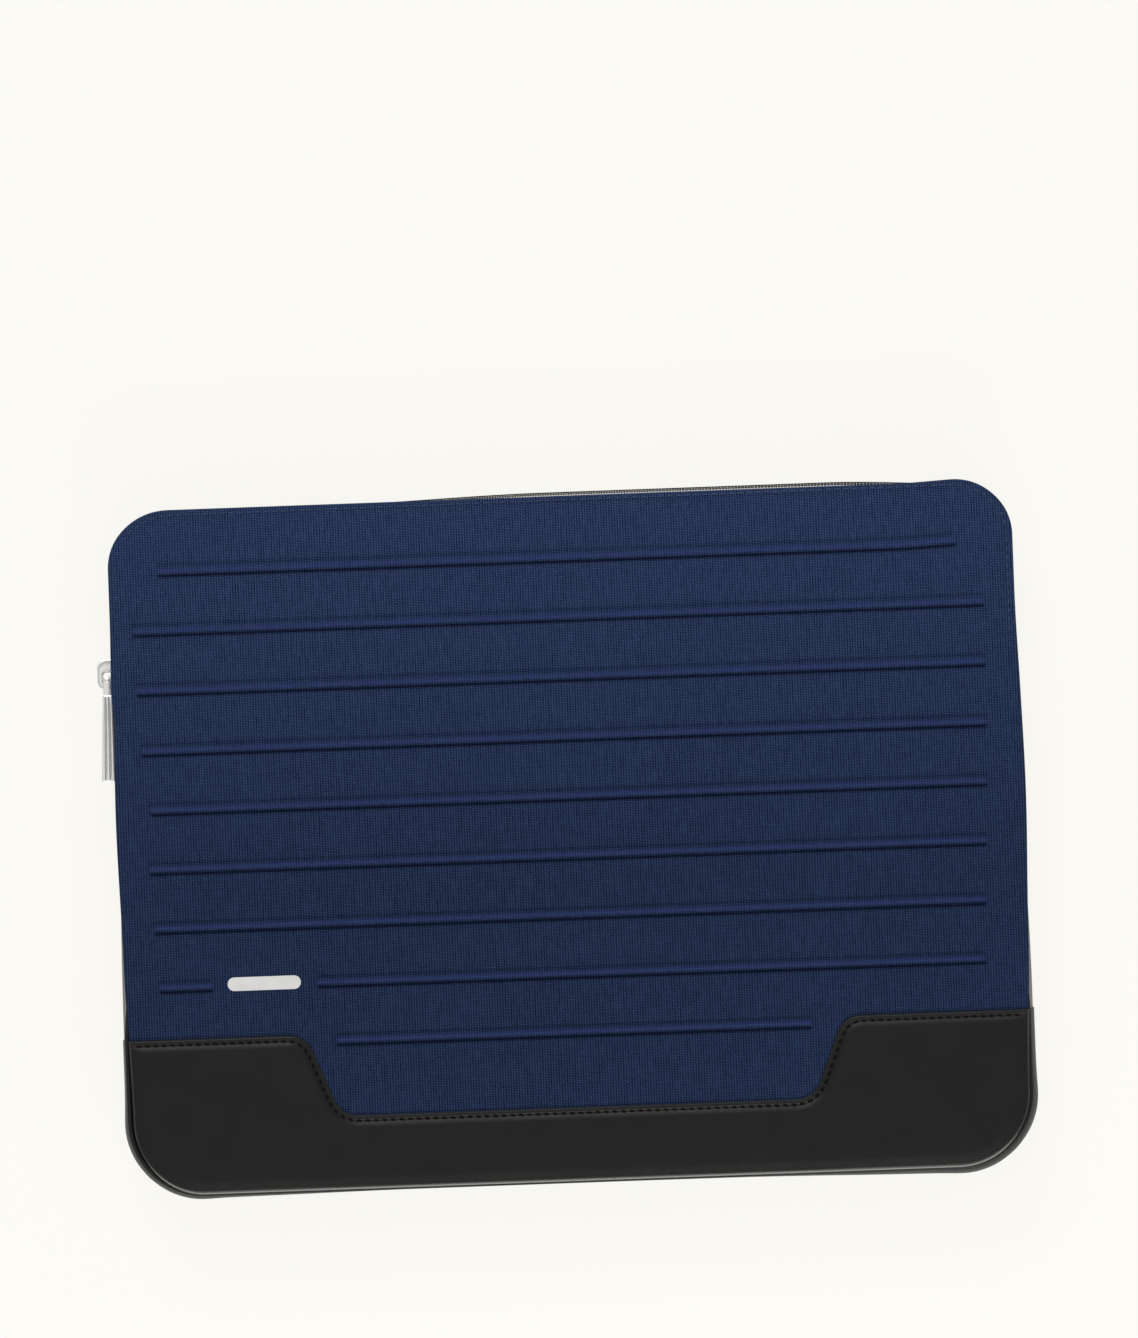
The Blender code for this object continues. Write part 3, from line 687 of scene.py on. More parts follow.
def make_cover_sheet(points, faces):
    """The flat cover as cloth, held where it is sewn down and blown up from below."""
    mesh = bpy.data.meshes.new("cover_sheet")
    mesh.from_pydata(points.tolist(), [], faces)
    sheet = bpy.data.objects.new("cover_sheet", mesh)
    bpy.context.scene.collection.objects.link(sheet)
    held = held_points(points[:, 0], points[:, 1])
    sheet.vertex_groups.new(name="held").add(np.nonzero(held)[0].tolist(), 1.0, "REPLACE")
    cloth = sheet.modifiers.new("cloth", "CLOTH")
    cloth.settings.quality = 5
    cloth.settings.use_pressure = True
    cloth.settings.uniform_pressure_force = RELIEF_PRESSURE
    cloth.settings.vertex_group_mass = "held"
    cloth.settings.effector_weights.gravity = 0
    cloth.collision_settings.use_collision = False
    return sheet


def simulate_relief():
    """Blow the sewn-down cover up by its padding, and return its height on a fine grid."""
    columns = round(2 * HALF_WIDTH / RELIEF_STEP) + 1
    rows = round(2 * HALF_HEIGHT / RELIEF_STEP) + 1
    x = np.linspace(-HALF_WIDTH, HALF_WIDTH, columns)
    y = np.linspace(-HALF_HEIGHT, HALF_HEIGHT, rows)
    grid_y, grid_x = np.meshgrid(y, x, indexing="ij")
    points = points_of(grid_x, grid_y, 0.0)
    sheet = make_cover_sheet(points, grid_faces(rows, columns))
    scene = bpy.context.scene
    for step in range(1, RELIEF_FRAMES + 1):
        scene.frame_set(step)
    swollen = sheet.evaluated_get(bpy.context.evaluated_depsgraph_get()).to_mesh()
    moved = np.empty(points.size)
    swollen.vertices.foreach_get("co", moved)
    mesh = sheet.data
    bpy.data.objects.remove(sheet, do_unlink=True)
    bpy.data.meshes.remove(mesh)
    scene.frame_set(1)
    height = np.clip(moved[2::3].reshape(rows, columns), 0, RELIEF_CAP)
    return np.apply_along_axis(eased, 1, np.apply_along_axis(eased, 0, height))


def eased(line):
    """A line of heights at four times as many points, with its creases rounded off."""
    places = np.linspace(0, len(line) - 1, 4 * (len(line) - 1) + 1)
    fine = np.interp(places, np.arange(len(line)), line)
    kernel = np.array([1, 2, 3, 4, 3, 2, 1]) / 16
    return np.convolve(np.pad(fine, 3, "edge"), kernel, "valid")


RELIEF = simulate_relief()


def relief(x, y):
    """The simulated height of the cover at these points."""
    rows, columns = RELIEF.shape
    across = np.clip((np.asarray(x) + HALF_WIDTH) / (2 * HALF_WIDTH), 0, 1) * (columns - 1)
    along = np.clip((np.asarray(y) + HALF_HEIGHT) / (2 * HALF_HEIGHT), 0, 1) * (rows - 1)
    column = np.minimum(across.astype(int), columns - 2)
    row = np.minimum(along.astype(int), rows - 2)
    right, upper = across - column, along - row
    low = RELIEF[row, column] * (1 - right) + RELIEF[row, column + 1] * right
    high = RELIEF[row + 1, column] * (1 - right) + RELIEF[row + 1, column + 1] * right
    return low * (1 - upper) + high * upper


def panel_height(x, y, padded=1.0, ribbed=True):
    """Outer surface of a canvas panel above its CAD plane at 0."""
    inside = inside_distance(x, y)
    rim = inset_of(inside, RIM)
    crown = PUFF * (1 - np.exp(-np.maximum(inside, 0) / (16 * MM)))
    hem = 1 - smooth(STITCH_INSET + 0.2 * MM, HEM_WIDTH + 1.5 * MM, inside)
    stitched = 0.28 * MM * bell(inside, STITCH_INSET, 0.5 * MM)
    zipped = smooth(ZIP_END_Y - 4 * MM, ZIP_END_Y + 6 * MM, y)
    height = padded * (crown + relief(x, y)) - rim - zipped * (HEM_DEPTH * hem + stitched)
    return height + rib_height(x, y) if ribbed else height


def leather_height(x, y, padded=1.0):
    """Outer surface of the leather trim above the CAD plane at 0."""
    edge = distance_to_line(x, y, TRIM)
    lip = LEATHER_STEP * np.sqrt(np.clip(edge / (0.6 * MM), 0, 1))
    groove = 0.42 * MM * bell(edge, LEATHER_STITCH_INSET, 0.62 * MM)
    swell = LEATHER_SWELL * smooth(LEATHER_STITCH_INSET + 0.2 * MM, LEATHER_STITCH_INSET + 2.8 * MM, edge)
    swell = swell * smooth(0.3 * MM, 6 * MM, inside_distance(x, y)) * padded
    return panel_height(x, y, padded, ribbed=False) + lip - groove + swell


# --- panels ---
def canvas_grid(ribs):
    """X and Y of a canvas panel's points, closer together at its edges, its seam and its ribs."""
    reach = 2.4 * MM
    seams = [HALF_HEIGHT - STITCH_INSET, HALF_HEIGHT] + [middle for start, end, middle in ribs]
    y = dense_steps(LOW_Y - 7 * MM, HALF_HEIGHT, 1.8 * MM, 0.32 * MM, seams, reach)
    ends = [-HALF_WIDTH, HALF_WIDTH] + [end for line in ribs for end in line[:2]]
    x = dense_steps(-HALF_WIDTH, HALF_WIDTH, 4 * MM, 0.6 * MM, ends, reach)
    grid_y, unit = np.meshgrid(y, x / HALF_WIDTH, indexing="ij")
    tucked = 2.2 * MM * (1 - smooth(SHOULDER_Y - 3 * MM, SHOULDER_Y - 0.5 * MM, grid_y))
    return unit * (half_width_at(grid_y) - tucked), grid_y


def make_front_cover():
    """The ribbed canvas, softly uneven, whose edges have drifted a little."""
    x, y = canvas_grid(RIBS)
    soft = waviness(x, y, 55 * MM, 3.0) + 0.5 * waviness(x, y, 22 * MM, 8.0)
    uneven = 0.16 * MM * soft * smooth(2 * MM, 14 * MM, inside_distance(x, y))
    height = TOP_Z + panel_height(x, y) + uneven
    painted_light_mark = rib_height(x, y) / RIB_HEIGHT
    x, y = drift(x, y), lifted(x, y)
    return shell_from_grid("front_cover", x, y, height, 1.7 * MM, CANVAS_THICKNESS, 1, painted_light_mark)


def make_back_cover():
    x, y = canvas_grid([])
    height = panel_height(x, y, padded=0.0, ribbed=False) - LEATHER_STEP
    flat = np.zeros(x.shape)
    return shell_from_grid("back_cover", x, y, height, 0.9 * MM, CANVAS_THICKNESS, -1, flat)


def trim_grid():
    """X and Y of the leather's points, in columns from the panel's bottom edge to the trim's."""
    slope = [SLOPE_LOW_X, (SLOPE_LOW_X + SLOPE_TOP_X) / 2, SLOPE_TOP_X]
    straight = dense_steps(0, HALF_WIDTH - BOTTOM_RADIUS, 4 * MM, 0.55 * MM, slope, 9 * MM)
    turns = np.sin(np.linspace(0, math.pi / 2, 26))
    half = np.concatenate([straight, HALF_WIDTH - BOTTOM_RADIUS * (1 - turns[1:])])
    columns = np.concatenate([-half[::-1], half[1:]])
    bottom = bottom_edge_at(columns)
    order = np.argsort(TRIM[:, 0])
    top = np.interp(columns, TRIM[order, 0], TRIM[order, 1])
    even = np.linspace(0, 1, 70)
    share = 0.55 * (0.5 - 0.5 * np.cos(math.pi * even)) + 0.45 * even
    return np.tile(columns, (len(share), 1)), bottom + np.outer(share, top - bottom)


def make_leather_trim(name, face):
    """The leather over the bottom of a panel, with a painted highlight along its lower rim."""
    x, y = trim_grid()
    inside = inside_distance(x, y)
    # painted highlight: a pale band along the leather's rim, strongest at the bottom edge, stands in for
    # light glinting on the rounded edge
    painted_highlight_weight = 0.15 + 0.85 * (1 - smooth(4 * MM, 16 * MM, y + HALF_HEIGHT))
    rim = painted_highlight_weight * (1 - smooth(0.35 * MM, 1.15 * MM, inside))
    # the trim's cut edge is coloured a little lighter: partly the edge's own lighter finish, partly a
    # painted highlight
    cut_edge = 0.08 * (1 - smooth(0.2 * MM, 0.7 * MM, distance_to_line(x, y, TRIM)))
    if face > 0:
        uneven = 0.12 * MM * waviness(x, y, 40 * MM, 5.0) * smooth(2 * MM, 10 * MM, inside)
        height = TOP_Z + leather_height(x, y) + uneven
        x = drift(x, y)
    else:
        height = leather_height(x, y, padded=0.0) - LEATHER_STEP
    # the mark for the material: the painted rim highlight and the lighter cut edge
    edge_tone_and_painted_highlight = np.maximum(cut_edge, rim)
    return shell_from_grid(name, x, y, height, 1.2 * MM, LEATHER_THICKNESS, face, edge_tone_and_painted_highlight)


def make_pad(name, low_z, high_z, seed, facing):
    """Foam board covered in lining: a flat cushion inside the walls. Its side towards the laptop, the
    upper one where facing is 1 and the lower one where it is -1, is a little uneven."""
    inset = 2.9 * MM
    soft_edge = 3 * MM
    ends = [-HALF_HEIGHT, HALF_HEIGHT]
    y = dense_steps(-HALF_HEIGHT + inset, HALF_HEIGHT - inset, 6 * MM, 0.5 * MM, ends, 4 * MM)
    across = dense_steps(-1, 1, 0.035, 0.004, [-1, 1], 0.02)
    grid_y, unit = np.meshgrid(y, across, indexing="ij")
    grid_x = unit * (half_width_at(grid_y * HALF_HEIGHT / (HALF_HEIGHT - inset)) - inset)
    inside = np.minimum(inside_distance(grid_x, grid_y) - inset, soft_edge)
    half = (high_z - low_z) / 2
    bulge = np.sqrt(1 - (1 - np.clip(inside / half, 0, 1)) ** 2) * half
    soft = 0.18 * MM * waviness(grid_x, grid_y, 30 * MM, seed) * smooth(0, soft_edge, inside)
    faces, ring, second_ring = doubled_grid(*grid_x.shape)
    sides = []
    for side in (1, -1):
        height = (low_z + high_z) / 2 + side * bulge + (soft if side == facing else 0)
        points = points_of(grid_x, grid_y, height)
        points[ring, 2] += side * 0.02 * MM
        sides.append(points)
    return add_piece(name, np.concatenate(sides), faces + wall_faces(ring, second_ring), 60)


# --- walls ---
def gusset_swell(x, y):
    """How far the side wall arches out at its middle: none at the zip, most at the lower corners."""
    share = float(smooth(60 * MM, -70 * MM, y))
    flat_bottom = 1 - 0.35 * float(smooth(150 * MM, 60 * MM, abs(x)) * smooth(-130 * MM, -140 * MM, y))
    corner = 0.8 * MM * float(bell(abs(x) - y, HALF_WIDTH + HALF_HEIGHT - 19 * MM, 14 * MM))
    fuller = 0.7 * MM * float(smooth(0, 150 * MM, x))
    return (GUSSET_SWELL + fuller) * share * flat_bottom + corner


def make_gusset(name, line, lap=0.0):
    """A side wall; lap is how far it lies outside the others."""
    share = np.linspace(0, 1, 15)
    low_z, high_z = 1.4 * MM, TOP_Z - 1.2 * MM
    height = low_z + (high_z - low_z) * share
    arch = np.sin(math.pi * share) ** 0.7

    def section(point, along):
        out = gusset_swell(*point) * arch - 0.5 * MM + lap
        return band_section(out, height, GUSSET_THICKNESS)

    return sweep(name, resample(line, 2.5 * MM), section)


def make_piping(name, height):
    """The cord in a panel's seam, which thins out and hides behind the panel towards the zip."""
    line = resample(panel_edge(-1, ZIP_END_Y + 1.5 * MM), 1.5 * MM)
    last = line[2][-1]

    def section(point, along):
        taper = min(max(min(along, last - along) / (8 * MM), 0.05), 1.0)
        shown = 1 - float(smooth(-78 * MM, -50 * MM, point[1]))
        out = (-1.9 * MM + 1.85 * MM * shown) * taper
        return circle_section(out, height, PIPING_RADIUS * (0.4 + 0.6 * taper))

    return sweep(name, line, section)


# --- zip ---
def zip_swell(point):
    """The zip bows outwards along the top edge, and lies in line with the panels at the sides."""
    top = float(smooth(HALF_HEIGHT - 6 * MM, HALF_HEIGHT - 0.5 * MM, point[1]))
    spread = float(smooth(-105 * MM, -5 * MM, point[0]) * smooth(172 * MM, 110 * MM, point[0]))
    return ZIP_BOW * top * spread


def make_zip_tape(name, line, face):
    """One half of the tape, from the coil to the panel's hem; face is 1 for the front half."""
    share = np.linspace(0, 1, 9)
    inner_edge = 0.5 * MM
    hem = TOP_Z - 1.3 * MM - MIDDLE_Z
    height = MIDDLE_Z + face * (inner_edge + (hem - inner_edge) * share)
    arch = np.cos(share * math.pi / 2) ** 0.8

    def section(point, along):
        out = -2.0 * MM + 0.5 * MM * share ** 3 + zip_swell(point) * arch
        return band_section(out, height, TAPE_THICKNESS)

    return sweep(name, resample(line, 2.0 * MM), section)


def make_coil_row(name, line, face):
    """One row of the coil: a bar for every turn. The rows mesh, but for the stretches that the slider
    passes or that lie below the bend, where they stay apart."""
    points, tangent, along = resample(line, COIL_PITCH)
    phase = 0.5 if face > 0 else 0.0
    passed_y = SLIDER_LOW.y + SLIDER_TRAVEL + 6 * MM
    angles = ring_angles(8)
    rings = []
    for point, way, outward in zip(points, tangent, right_of(tangent)):
        spot = point + way * phase * COIL_PITCH
        apart = (point[0] < 0 and point[1] < passed_y) or point[1] < BEND_Y + 9 * MM
        near = COIL_MESH if apart else -COIL_MESH
        turn = ((near, 0.55), (near + 0.2 * MM, 0.95), (COIL_REACH / 2, 1.0), (COIL_REACH - 0.3 * MM, 0.95))
        for reach, fat in (*turn, (COIL_REACH, 0.5)):
            out = -1.36 * MM + zip_swell(point) + COIL_RADIUS * fat * np.sin(angles)
            flat = spot + np.outer(np.cos(angles), way) * COIL_WIRE * fat + np.outer(out, outward)
            rings.append(points_of(*flat.T, MIDDLE_Z + face * reach))
    return skin(name, rings, 70, levels=len(turn) + 1)


def make_coil_thread(name, line, height):
    """The sewing thread that holds a coil row down, as a fine rope along the row."""

    def section(point, along):
        wobble = 1.0 + 0.18 * math.sin(along / (0.68 * MM) * math.pi)
        return circle_section(zip_swell(point) - 0.72 * MM, height, 0.20 * MM * wobble, sides=8)

    return sweep(name, resample(line, 0.6 * MM), section)


# --- slider and puller ---
PLATE_OUT = 1.4 * MM            # the outer plate's face, from the side of the panels
BRIDGE_HALF = 1.4 * MM


def outward_x(offset):
    """X of a point this far outside the left side of the panels."""
    return -HALF_WIDTH - offset


def make_slider_plate(name, low, high):
    """A rounded plate, a little narrower at the tail, with a softly domed face."""
    along, across = rounded_square(48, 0.55)
    middle_y = (SLIDER_LOW.y + SLIDER_HIGH.y) / 2
    half_length = (SLIDER_HIGH.y - SLIDER_LOW.y) / 2
    half_width = (SLIDER_HIGH.z - SLIDER_LOW.z) / 2 * (0.90 + 0.10 * smooth(-1, 0.4, along))
    slim = 0.35 + 0.65 * smooth(-0.75, -0.25, along)
    rings = []
    for share, inset in ((0.0, 0.22), (0.07, 0.05), (0.2, 0.0), (0.75, 0.0), (0.9, 0.12), (1.0, 0.5)):
        x = outward_x(low + (high - low) * share * slim)
        y = middle_y + along * (half_length - inset * MM)
        rings.append(points_of(x, y, MIDDLE_Z + across * (half_width - inset * MM)))
    rim = rings[-1]
    middle = rim.mean(axis=0)
    for shrink, rise in ((0.75, 0.6), (0.45, 0.9), (0.15, 1.0)):
        ring = middle + (rim - middle) * shrink
        ring[:, 0] = outward_x(high + 0.16 * MM * rise)
        rings.append(ring)
    return skin(name, rings)


def arch_line(foot, crown, low_y, high_y, low_radius, high_radius):
    corners = [(foot, high_y, 0), (crown, high_y, high_radius), (crown, low_y, low_radius), (foot, low_y, 0)]
    return even_points(rounded_line(corners), 44)


def make_bridge():
    """The arch on the slider's face, thicker at its nose, with rounded edges and a ground line darkened by
    painted shade.
    """
    crown = SLIDER_LOW.x
    foot = outward_x(PLATE_OUT - 0.3 * MM)
    low_y, high_y = SLIDER_LOW.y + 0.5 * MM, SLIDER_HIGH.y + 0.1 * MM
    outer = arch_line(foot, crown, low_y, high_y, 3.0 * MM, 4.0 * MM)
    inner = arch_line(foot, crown + 2.4 * MM, low_y + 1.8 * MM, high_y - 5.8 * MM, 1.4 * MM, 1.4 * MM)
    reach, rise = rounded_square(28, 0.45)
    ground = np.where((np.abs(rise) > 0.9) & (reach > 0), bell(reach, 0.45, 0.12), 0.0)
    height = MIDDLE_Z + (BRIDGE_HALF + 0.2 * MM - 0.12 * MM * ground) * rise
    rings = []
    for top, under in zip(outer, inner):
        flat = (top + under) / 2 + np.outer(reach, (top - under) / 2)
        rings.append(np.column_stack([flat, height]))
    # the ground line is marked for painted shade
    return skin("slider_bridge", rings, 50, [0.9 * ground] * len(rings))


def make_slider_web():
    """The thin web that joins the plates and parts the coil rows."""
    angles = ring_angles(16)
    y = SLIDER_LOW.y + 1.4 * MM + 1.5 * MM * (1 + np.cos(angles))
    z = MIDDLE_Z + 0.25 * MM * np.sin(angles)
    ends = (outward_x(-3.0 * MM), outward_x(0.1 * MM))
    return skin("slider_web", [points_of(x, y, z) for x in ends])


def make_puller_bar():
    """A bar that widens towards its end, with two grooves on each side darkened by painted shade, and
    rounded ends.
    """
    low_y, high_y = PULLER_LOW.y, PULLER_LOW.y + 36 * MM
    back = outward_x(1.1 * MM)
    neck, end = outward_x(5.4 * MM), PULLER_LOW.x
    half = (PULLER_HIGH.z - PULLER_LOW.z) / 2
    radius = 0.8 * MM
    groove_width = 0.30 * MM
    rounding = radius * (1 - np.cos(np.linspace(0, math.pi / 2, 7)))
    straight = np.linspace(low_y + 2 * MM, high_y - 2 * MM, 14)
    share = np.linspace(0, 1, 61)
    pillow = 0.16 * MM * (1 - (2 * ((share * 3) % 1.0) - 1) ** 2)
    rings = []
    marks = []
    for y in np.concatenate([low_y + rounding, straight, high_y - rounding[::-1]]):
        from_end = min(y - low_y, high_y - y)
        drawn = inset_of(from_end, radius)
        start = back - drawn
        face = neck + (end - neck) * np.clip((high_y - y) / (high_y - low_y), 0, 1) + drawn
        width = abs(face - start)
        place = share * width
        groove = bell(place, width / 3, groove_width) + bell(place, width * 2 / 3, groove_width)
        plain = smooth(0.8 * MM, 2.6 * MM, from_end)
        sunk = (0.42 * MM * groove - pillow) * plain
        level = half - drawn - inset_of(np.minimum(place, width - place), radius) - sunk
        x = start + (face - start) * share
        upper = points_of(x, y, MIDDLE_Z + level)
        lower = points_of(x, y, MIDDLE_Z - level)
        # painted shade: the grooves are marked to be coloured dark
        mark = np.minimum(1.0, 0.35 * groove * plain)
        rings.append(np.concatenate([upper, lower[::-1]]))
        marks.append(np.concatenate([mark, mark[::-1]]))
    return skin("puller_bar", rings, 50, marks)


def make_puller_ear(name, side):
    """One of the two lugs beside the bridge."""
    start, stop = BRIDGE_HALF + 0.3 * MM, BRIDGE_HALF + 1.5 * MM
    foot = PULLER_LOW.y + 35 * MM
    angles = np.linspace(math.pi, 0, 21)
    rings = []
    for share, inset in ((0, 0.2), (0.12, 0.0), (0.75, 0.0), (0.92, 0.15), (1.0, 0.4)):
        reach = (1.7 - inset) * MM
        x = PIN.x + reach * np.concatenate([[-1], np.cos(angles), [1]])
        y = np.concatenate([[foot], PIN.y + reach * np.sin(angles), [foot]])
        rings.append(points_of(x, y, MIDDLE_Z + side * (start + (stop - start) * share)))
    return skin(name, rings)


def make_pin():
    """The pin through both lugs, with a riveted head at each end."""
    lug = BRIDGE_HALF + 1.5 * MM
    head = 0.45 * MM
    half = [(lug, 0.8), (lug, 1.05), (lug + head * 0.6, 0.8), (lug + head, 0.35)]
    angles = ring_angles(20)
    rings = []
    for level, radius in [(-level, radius) for level, radius in reversed(half)] + half:
        x = PIN.x + radius * MM * np.cos(angles)
        y = PIN.y + radius * MM * np.sin(angles)
        rings.append(points_of(x, y, MIDDLE_Z + level))
    return skin("puller_pin", rings, 60)


# --- camera, light and floor ---
def make_stage():
    reach, drop = 6.0, -0.2 * MM
    x, y = np.meshgrid([-reach, reach], [-reach, reach])
    floor = add_piece("floor", points_of(x, y, drop), grid_faces(2, 2))
    floor.data.materials.append(make_floor_material())


def add_light(name, place, target, size, power):
    light = bpy.data.lights.new(name, "AREA")
    light.shape = "RECTANGLE"
    light.size, light.size_y = size
    light.energy = power
    lamp = bpy.data.objects.new(name, light)
    lamp.location = place
    direction = Vector(target) - Vector(place)
    lamp.rotation_euler = direction.to_track_quat("-Z", "Y").to_euler()
    bpy.context.scene.collection.objects.link(lamp)


def make_lights():
    """A pale studio sky that is brighter above, a big soft light behind and a low strip in front."""
    world = bpy.data.worlds.new("studio")
    world.use_nodes = True
    tree = world.node_tree
    direction = tree.nodes.new("ShaderNodeTexCoord")
    split = tree.nodes.new("ShaderNodeSeparateXYZ")
    tree.links.new(direction.outputs["Generated"], split.inputs[0])
    sky = tree.nodes.new("ShaderNodeMix")
    sky.data_type = "RGBA"
    sky.inputs["A"].default_value = (0.30, 0.30, 0.295, 1.0)
    sky.inputs["B"].default_value = (0.82, 0.815, 0.80, 1.0)
    tree.links.new(split.outputs["Z"], sky.inputs["Factor"])
    tree.links.new(sky.outputs["Result"], tree.nodes["Background"].inputs["Color"])
    bpy.context.scene.world = world
    bpy.context.scene.view_settings.view_transform = "Standard"
    add_light("key", (-0.9, 3.8, 2.5), (0, 0.02, 0), (2.6, 1.1), 117)
    add_light("strip", (0.3, -1.7, 0.90), (0, 0, 0), (1.7, 0.12), 28)


def make_camera():
    """Straight down on the sleeve, which lies turned a little in the frame and below its middle."""
    frame_height = 0.5483
    lens, sensor = 200.0, 36.0
    turn = math.radians(-2.08)
    centre = turned((-0.0008, 0.0694), turn)
    camera = bpy.data.cameras.new("camera")
    camera.lens = lens
    camera.sensor_width = sensor
    camera.sensor_fit = "AUTO"
    camera.clip_end = 50
    eye = bpy.data.objects.new("camera", camera)
    eye.location = (centre[0], centre[1], TOP_Z + frame_height * lens / sensor)
    eye.rotation_euler = (0, 0, turn)
    bpy.context.scene.collection.objects.link(eye)
    bpy.context.scene.camera = eye


# --- assembly ---
LOOKS = {
    "canvas": make_canvas(),
    "leather": make_leather("black_leather", (0.0042, 0.0042, 0.0041), 0.44),
    "gusset": make_webbing("grey_webbing", (0.150, 0.146, 0.139), (0.330, 0.322, 0.308), 0.9 * MM),
    "tape": make_webbing("grey_zip_tape", (0.340, 0.334, 0.348), (0.560, 0.552, 0.572), 0.7 * MM),
    "coil": make_coil(),
    "piping": make_leather("black_piping", (0.0060, 0.0060, 0.0060), 0.50, 0.5),
    "lining": make_lining(),
    "metal": make_metal("polished_nickel", (0.93, 0.93, 0.92), (1.0, 0.08, 1.0)),
    "plate": make_metal("satin_plate", (0.84, 0.84, 0.84), (0.06, 1.0, 1.0)),
    "navy_thread": make_thread("navy_thread", (0.036, 0.051, 0.105)),
    "black_thread": make_thread("black_thread", (0.002, 0.002, 0.002)),
}


def fit(piece, body, slot, *replaced, look=None):
    """Give a piece its look, that of its slot unless another is named, tie it to its body and hide
    the CAD nodes that it replaces. A piece of the body "bend" only has its place baked into its mesh."""
    piece.data.materials.append(LOOKS[look or slot])
    if body == "bend":
        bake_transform(piece)
    else:
        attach(piece, body)
    if replaced:
        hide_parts(*replaced)


def fit_pad(piece, body, *replaced):
    fit(piece, body, "lining", *replaced)


def dress_front():
    canvases = ("front_canvas_lower", "front_canvas_upper", *CAD_RIBS)
    boards = ("front_foam_lower", "front_foam_upper", "front_lining_lower", "front_lining_upper")
    pad_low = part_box("front_lining_lower")[0].z
    fit(make_front_cover(), "bend", "canvas", *canvases)
    fit(make_leather_trim("front_trim", 1), "sleeve", "leather", "front_leather_trim")
    fit_pad(make_pad("front_padding", pad_low, TOP_Z - 1.1 * MM, 4.0, -1), "bend", *boards)
    hem = panel_edge(1, ZIP_END_Y + 3 * MM, STITCH_INSET)
    hem[:, 1] = lifted(hem[:, 0], hem[:, 1])

    def canvas_at(x, y):
        return TOP_Z + panel_height(x, 2 * y - lifted(x, y))

    def leather_at(x, y):
        return TOP_Z + leather_height(x, y)

    topstitch = stitch_row("mouth_topstitch", hem, *TOPSTITCH, canvas_at)
    fit(topstitch, "bend", "canvas", look="navy_thread")
    slant = math.radians(-14)
    seam = stitch_row("front_trim_stitches", trim_seam(), *TRIM_STITCH, 0.40 * MM, leather_at, slant)
    fit(seam, "sleeve", "leather", look="black_thread")


def dress_back():
    fit(make_back_cover(), "sleeve", "canvas", "back_canvas")
    fit(make_leather_trim("back_trim", -1), "sleeve", "leather", "back_leather_trim")

    def canvas_at(x, y):
        return panel_height(x, y, 0.0, False) - LEATHER_STEP

    def leather_at(x, y):
        return leather_height(x, y, 0.0) - LEATHER_STEP

    hem = panel_edge(1, ZIP_END_Y + 3 * MM, STITCH_INSET)
    topstitch = stitch_row("back_topstitch", hem, *TOPSTITCH, canvas_at, face=-1)
    fit(topstitch, "sleeve", "canvas", look="navy_thread")
    seam = stitch_row("back_trim_stitches", trim_seam(), *TRIM_STITCH, 0.36 * MM, leather_at, face=-1)
    fit(seam, "sleeve", "leather", look="black_thread")
    pad_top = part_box("back_lining")[1].z
    fit_pad(make_pad("back_padding", 1.4 * MM, pad_top, 1.0, 1), "sleeve", "back_foam", "back_lining")


def dress_walls():
    rise = np.linspace(ZIP_END_Y + 1 * MM, SHOULDER_Y - 2 * MM, 12)
    left = np.stack([np.full(12, -HALF_WIDTH), rise], axis=1)
    right = np.stack([np.full(12, HALF_WIDTH), rise[::-1]], axis=1)
    for name, line in (("gusset_left", left), ("gusset_right", right)):
        fit(make_gusset(name, line), "sleeve", "gusset", "side_" + name)
    around = make_gusset("gusset_bottom", panel_edge(-1, SHOULDER_Y), 0.5 * MM)
    fit(around, "sleeve", "leather", "bottom_gusset")
    for name, height in (("front_piping", TOP_Z - 1.3 * MM), ("back_piping", 1.5 * MM)):
        fit(make_piping(name + "_cord", height), "sleeve", "piping", name)


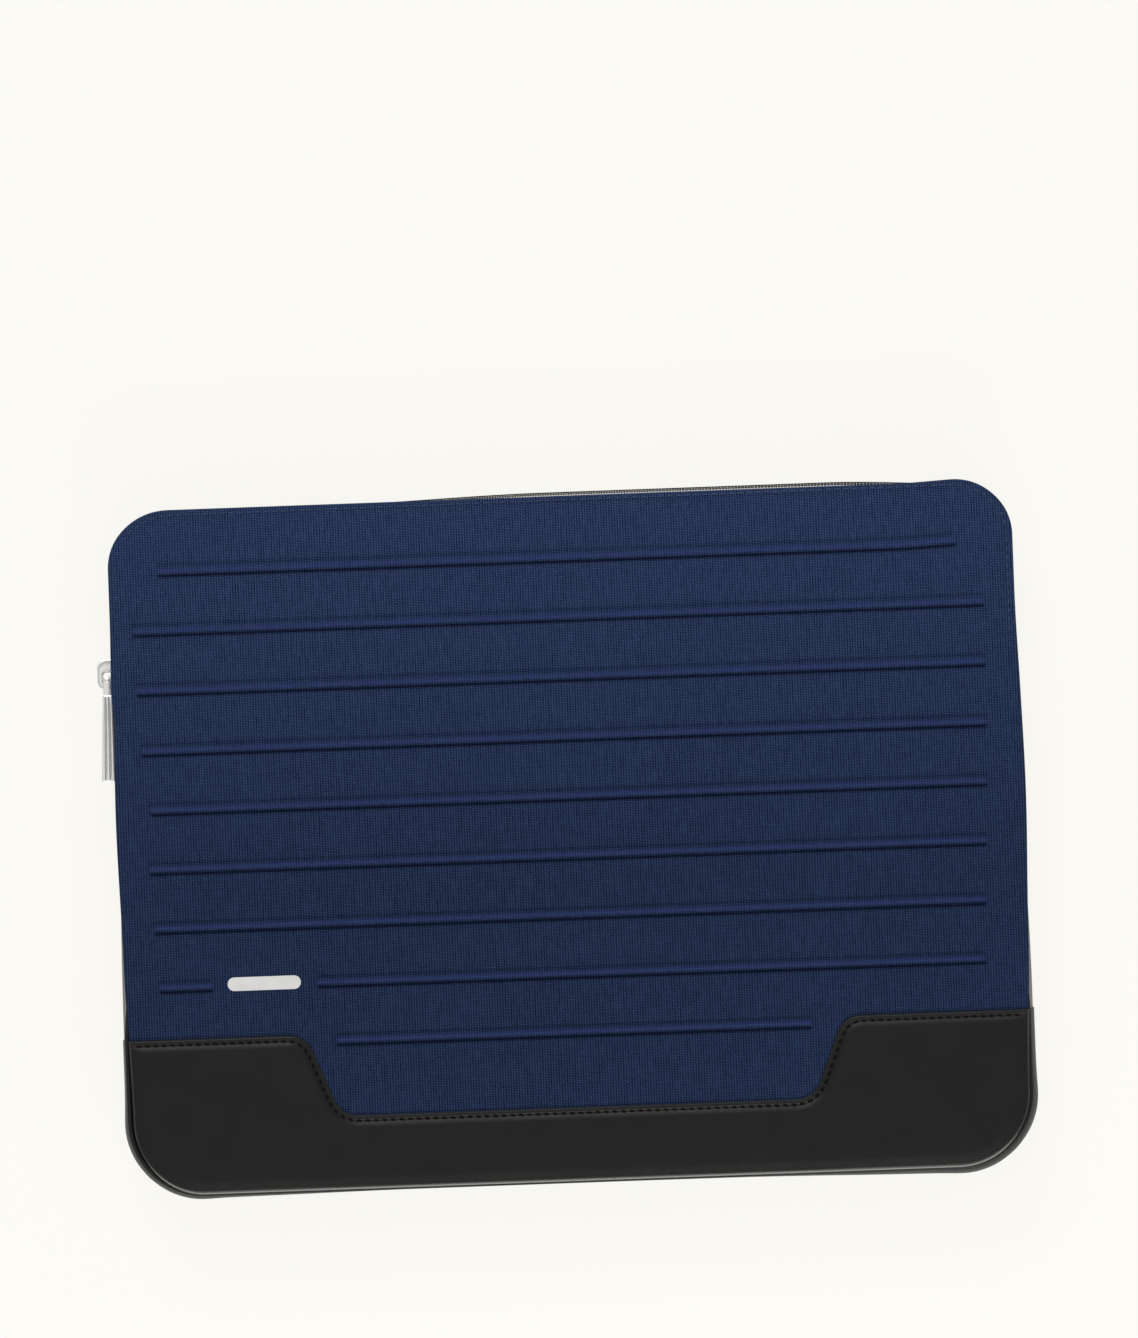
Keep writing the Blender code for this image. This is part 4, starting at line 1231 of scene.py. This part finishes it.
def dress_zip():
    edge = panel_edge(1, ZIP_END_Y)
    front_tapes = ("zip_tape_front", "zip_tape_front_end_left", "zip_tape_front_end_right")
    fit(make_zip_tape("zip_tape_rear_half", edge, -1), "sleeve", "tape", "zip_tape_back")
    fit(make_zip_tape("zip_tape_front_half", edge, 1), "bend", "tape", *front_tapes)
    line = panel_edge(1, COIL_START_Y)
    fit(make_coil_row("zip_coil_rear_row", line, -1), "sleeve", "coil", "zip_coil_back")
    fit(make_coil_row("zip_coil_front_row", line, 1), "bend", "coil", "zip_coil_front")
    lift = 1.35 * MM
    rear = make_coil_thread("zip_coil_thread_rear", line, MIDDLE_Z - lift)
    fore = make_coil_thread("zip_coil_thread_front", line, MIDDLE_Z + lift)
    fit(rear, "sleeve", "tape", look="black_thread")
    fit(fore, "bend", "tape", look="black_thread")


def dress_slider():
    fit(make_slider_plate("slider_outer_plate", 0.0, PLATE_OUT), "slider", "metal", "zip_slider")
    fit(make_slider_plate("slider_inner_plate", -4.0 * MM, -2.9 * MM), "slider", "metal")
    fit(make_bridge(), "slider", "metal")
    fit(make_slider_web(), "slider", "metal")
    fit(make_puller_bar(), "puller", "metal", "zip_puller")
    fit(make_puller_ear("puller_ear_rear", -1), "puller", "metal")
    fit(make_puller_ear("puller_ear_front", 1), "puller", "metal")
    fit(make_pin(), "puller", "metal")


def finish_cad_pieces():
    """The CAD pieces whose shape is right keep their mesh, with eased edges and a better finish."""
    finishes = {
        "blank_plate": ("plate", 0.35 * MM),
        "zip_top_stop_back": ("metal", 0.2 * MM),
        "zip_top_stop_front": ("metal", 0.2 * MM),
        "zip_bottom_stop": ("metal", 0.2 * MM),
        "gusset_lining": ("lining", 0.0),
    }
    for name, (look, width) in finishes.items():
        node = frame["nodes"][name]
        node.data.materials.clear()
        node.data.materials.append(LOOKS[look])
        if width:
            bevel = node.modifiers.new("eased edges", "BEVEL")
            bevel.width = width
            bevel.segments = 3
            bevel.limit_method = "ANGLE"
            bevel.angle_limit = math.radians(28)


make_stage()
make_lights()
make_camera()
dress_front()
dress_back()
dress_walls()
dress_zip()
dress_slider()
finish_cad_pieces()
